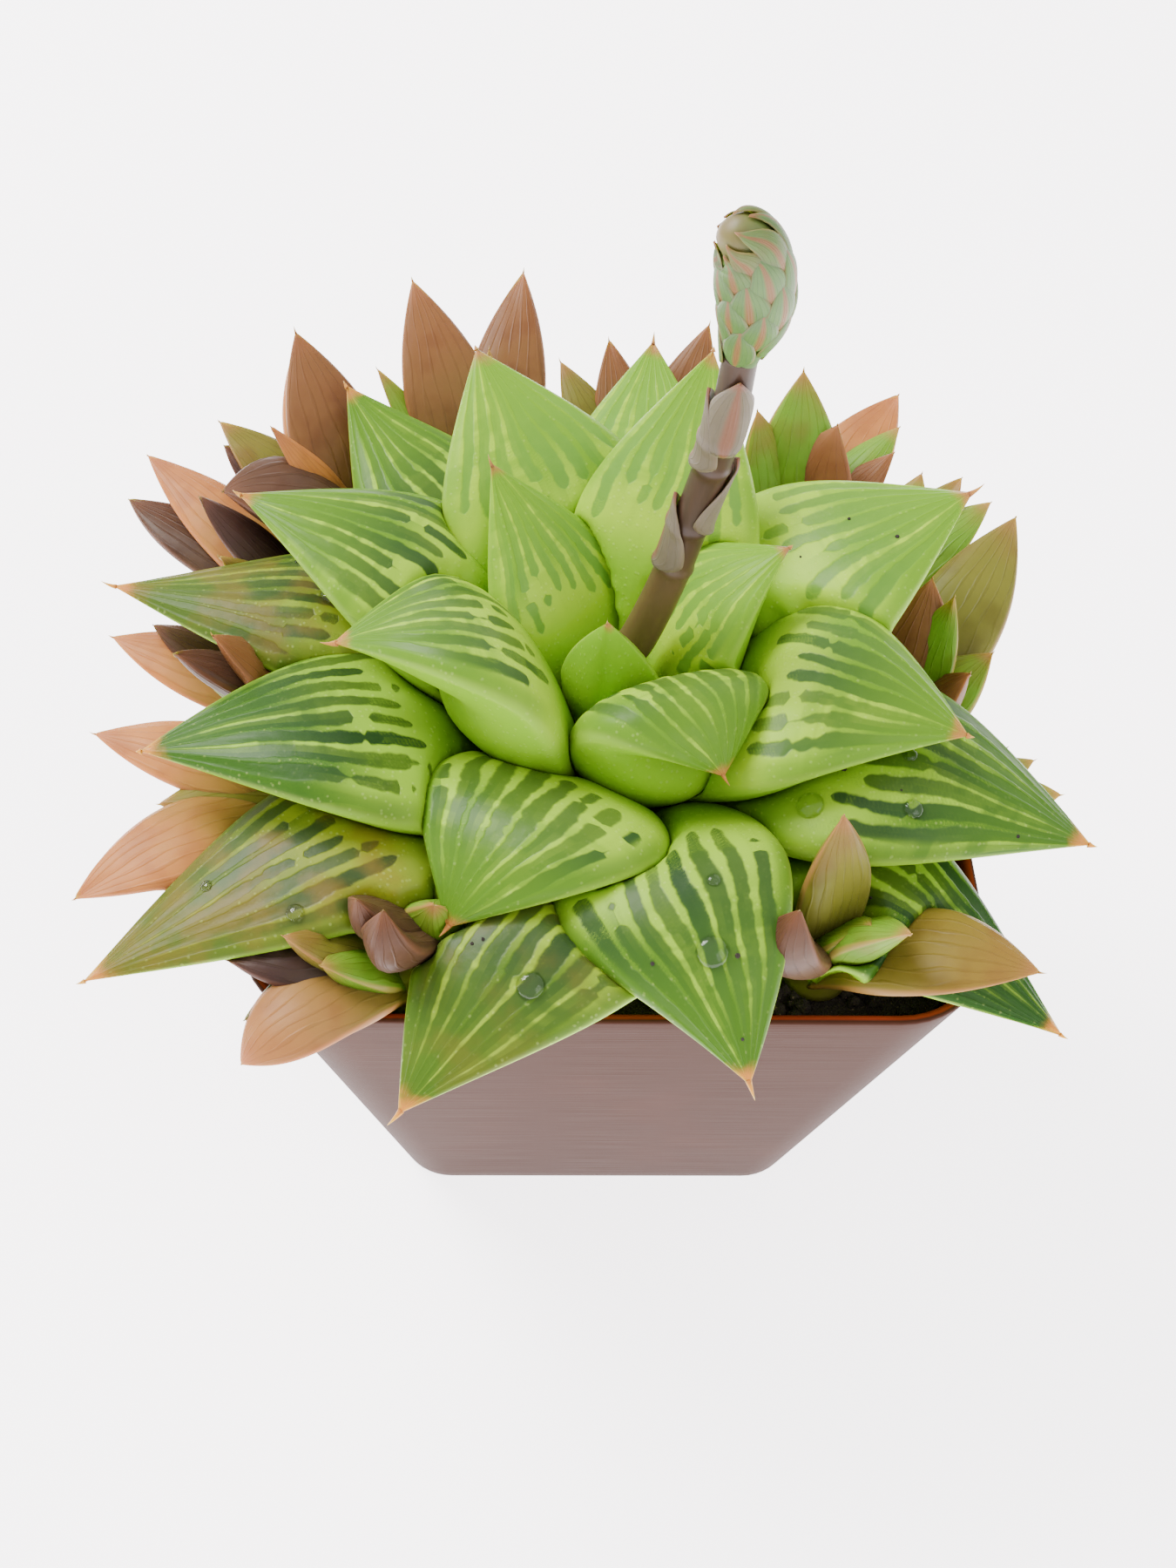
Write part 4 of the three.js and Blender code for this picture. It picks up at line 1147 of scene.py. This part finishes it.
points, faces, along_bud = round_body(BUD_LINE, bud_radius, 60, 40)
core = {"along": along_bud * 0.5, "across": np.full(len(points), 0.5), "height": along_bud}
bodies = [(points, faces, core)]
BUD_SCALES, GOLDEN = 30, 137.5
for order in range(BUD_SCALES):
    at = 0.01 + 0.8 * (order / BUD_SCALES) ** 0.85
    width = 0.75 if order < 6 else 0.62
    bodies.append(wrapped_scale(
        BUD_LINE, bud_radius, at, min(0.3, 0.98 - at), 200 + GOLDEN * order, width,
        lambda s: 0.05 * MM + 0.2 * MM * np.sin(np.pi * np.clip(s, 0, 1) * 0.9), 0.16 * MM, 16, 12,
    ))
points, faces, numbers = joined(bodies)
bud = make_object("flower_bud_fine", points, faces, bud_skin, numbers)
belongs(bud, "bud_skin", "flower_bud")
print(len(BRACTS), "bracts on the stalk,", BUD_SCALES, "scales on the bud,", len(faces), "faces on the bud")

# %% [markdown]
# ## Water and grit
# Drops of water sit on some leaves and grains of soil are stuck to some. Both repeat, so
# Geometry Nodes spread them over the upper faces of the leaves that carry them. A drop is a low clear dome
# that lies along the face it sits on; a grain is the soil's own lump, made small.

# %% Material of water
water, tree, shader = new_material("water", 0.02)
shader.inputs["Base Color"].default_value = (0.9, 0.97, 0.9, 1)
shader.inputs["Transmission Weight"].default_value = 1.0
shader.inputs["IOR"].default_value = 1.33
feed(shader.inputs["Roughness"], cloud(tree, 800.0) * 0.04)
bump(shader, cloud(tree, 600.0), 0.02 * MM, 0.3)


# %% Spreading over faces
def upper_patch(piece, low, high):
    """The middle of a leaf's upper face between two shares of its length, as a mesh to spread on."""
    mesh = piece.data
    count = len(mesh.vertices)
    values = {}
    for key in ("along", "across", "upper"):
        values[key] = np.zeros(count, np.float32)
        mesh.attributes[key].data.foreach_get("value", values[key])
    good = (values["along"] > low) & (values["along"] < high) & (np.abs(values["across"]) < 0.75)
    good &= values["upper"] > 0.9
    faces = [tuple(f.vertices) for f in mesh.polygons if all(good[v] for v in f.vertices)]
    used = sorted({v for f in faces for v in f})
    place = {v: i for i, v in enumerate(used)}
    return [tuple(mesh.vertices[v].co) for v in used], [tuple(place[v] for v in f) for f in faces]


def patches(name, pieces, low, high):
    """One mesh of the upper patches of several leaves."""
    points, faces, _ = joined([(*upper_patch(piece, low, high), {}) for piece in pieces])
    mesh = bpy.data.meshes.new(name)
    mesh.from_pydata(points, [], faces)
    return mesh


# %% The group for drops
def drop_group():
    """Spreads low domes over the faces of a mesh, each turned to lie on its face."""
    tree, names, given = new_group("drops", ("Density", "Smallest", "Largest", "Height"))
    ball = add_node(tree, "GeometryNodeMeshUVSphere", {"Segments": 16, "Rings": 9})
    flat = add_node(tree, "ShaderNodeCombineXYZ", {"X": 1.0, "Y": 1.0, "Z": given["Height"]})
    drop = add_node(tree, "GeometryNodeTransform", {"Geometry": ball, "Scale": flat})
    body = spread_lumps(tree, given, drop)
    close_group(tree, given, add_node(tree, "GeometryNodeSetShadeSmooth", {0: body}))
    return tree, names


# %% Drops and grit on the leaves
by_name = {p.name: p for p in main_pieces + outermost + over}
WET = ["leaf_front_right", "leaf_outer_right", "leaf_outer_front", "leaf_outer_front_left",
       "leaf_outer_front_right", "leaf_outer_back_left", "leaf_outer_left_back"]
GRITTY = ["leaf_outer_right", "leaf_back_right", "leaf_outer_front_right", "leaf_middle_back",
          "leaf_front_right", "leaf_outer_front"]
wet_mesh = patches("wet_faces", [by_name[name + "_fine"] for name in WET], 0.42, 0.85)
drop_piece = made_by(
    drop_group(), wet_mesh, "water_drops", Density=1.6e4, Smallest=0.12 * MM, Largest=1.25 * MM,
    Height=0.5, Seed=5, Material=water,
)
belongs(drop_piece, "leaf_green")
grit_mesh = patches("gritty_faces", [by_name[name + "_fine"] for name in GRITTY], 0.3, 0.95)
grit_piece = made_by(
    crumbs, grit_mesh, "leaf_grit", Density=1.6e4, Smallest=0.06 * MM, Largest=0.22 * MM,
    Seed=9, Material=soil_mix,
)
belongs(grit_piece, "soil_mix")
print("drop faces:", len(drop_piece.data.polygons), "grit faces:", len(grit_piece.data.polygons))

# %% [markdown]
# ## Floor, light and camera
# The plant stands on a plain pale sweep in soft light from a bright sky and one large lamp. The camera
# looks down at it from the front, a little rolled, as one would hold a phone over a table.

# %% Floor
floor_paint, tree, shader = new_material("floor", 0.7)
shader.inputs["Base Color"].default_value = (0.9, 0.87, 0.885, 1)
shader.inputs["Emission Color"].default_value = (1, 0.955, 0.985, 1)
shader.inputs["Emission Strength"].default_value = 3.8
floor = make_object("floor", [(2 * x, 2 * y, 0) for x, y in SQUARE], [(0, 1, 2, 3)], floor_paint)

# %% Light
world = bpy.data.worlds.new("studio")
bpy.context.scene.world = world
world.use_nodes = True
sky = world.node_tree.nodes["Background"].inputs
sky["Color"].default_value = (1, 0.985, 0.98, 1)
sky["Strength"].default_value = 1.4


def add_lamp(name, place, size, watts, colour=(1, 1, 1)):
    """A square soft lamp that looks at the plant."""
    data = bpy.data.lights.new(name, "AREA")
    data.size, data.energy, data.color = size, watts, colour
    lamp = bpy.data.objects.new(name, data)
    lamp.location = place
    lamp.rotation_euler = (Vector((0, 0, 0.05)) - Vector(place)).to_track_quat("-Z", "Y").to_euler()
    bpy.context.scene.collection.objects.link(lamp)


add_lamp("window light", (-0.5, 0.35, 0.7), 0.4, 14.0, (1, 0.99, 0.97))
add_lamp("fill light", (0.5, -0.5, 0.6), 0.6, 3.0)

# %% Camera
TARGET = Vector((-1.78, 0.09, 39.26)) * MM
AZIMUTH, ELEVATION, ROLL = math.radians(-2.85), math.radians(52.69), math.radians(2.77)
DISTANCE = 139 * MM
flat = Vector((-math.sin(AZIMUTH), math.cos(AZIMUTH), 0))
forward = flat * math.cos(ELEVATION) - Vector((0, 0, math.sin(ELEVATION)))
right = Vector((math.cos(AZIMUTH), math.sin(AZIMUTH), 0))
above = right.cross(forward)
rolled = right * math.cos(ROLL) + above * math.sin(ROLL)
rolled_up = above * math.cos(ROLL) - right * math.sin(ROLL)
camera_data = bpy.data.cameras.new("camera")
camera_data.lens, camera_data.sensor_width, camera_data.clip_start = 36.0, 36.0, 0.005
camera = bpy.data.objects.new("camera", camera_data)
turn = Matrix((rolled, rolled_up, -forward)).transposed().to_4x4()
camera.matrix_world = Matrix.Translation(TARGET - forward * DISTANCE) @ turn
bpy.context.scene.collection.objects.link(camera)
bpy.context.scene.camera = camera
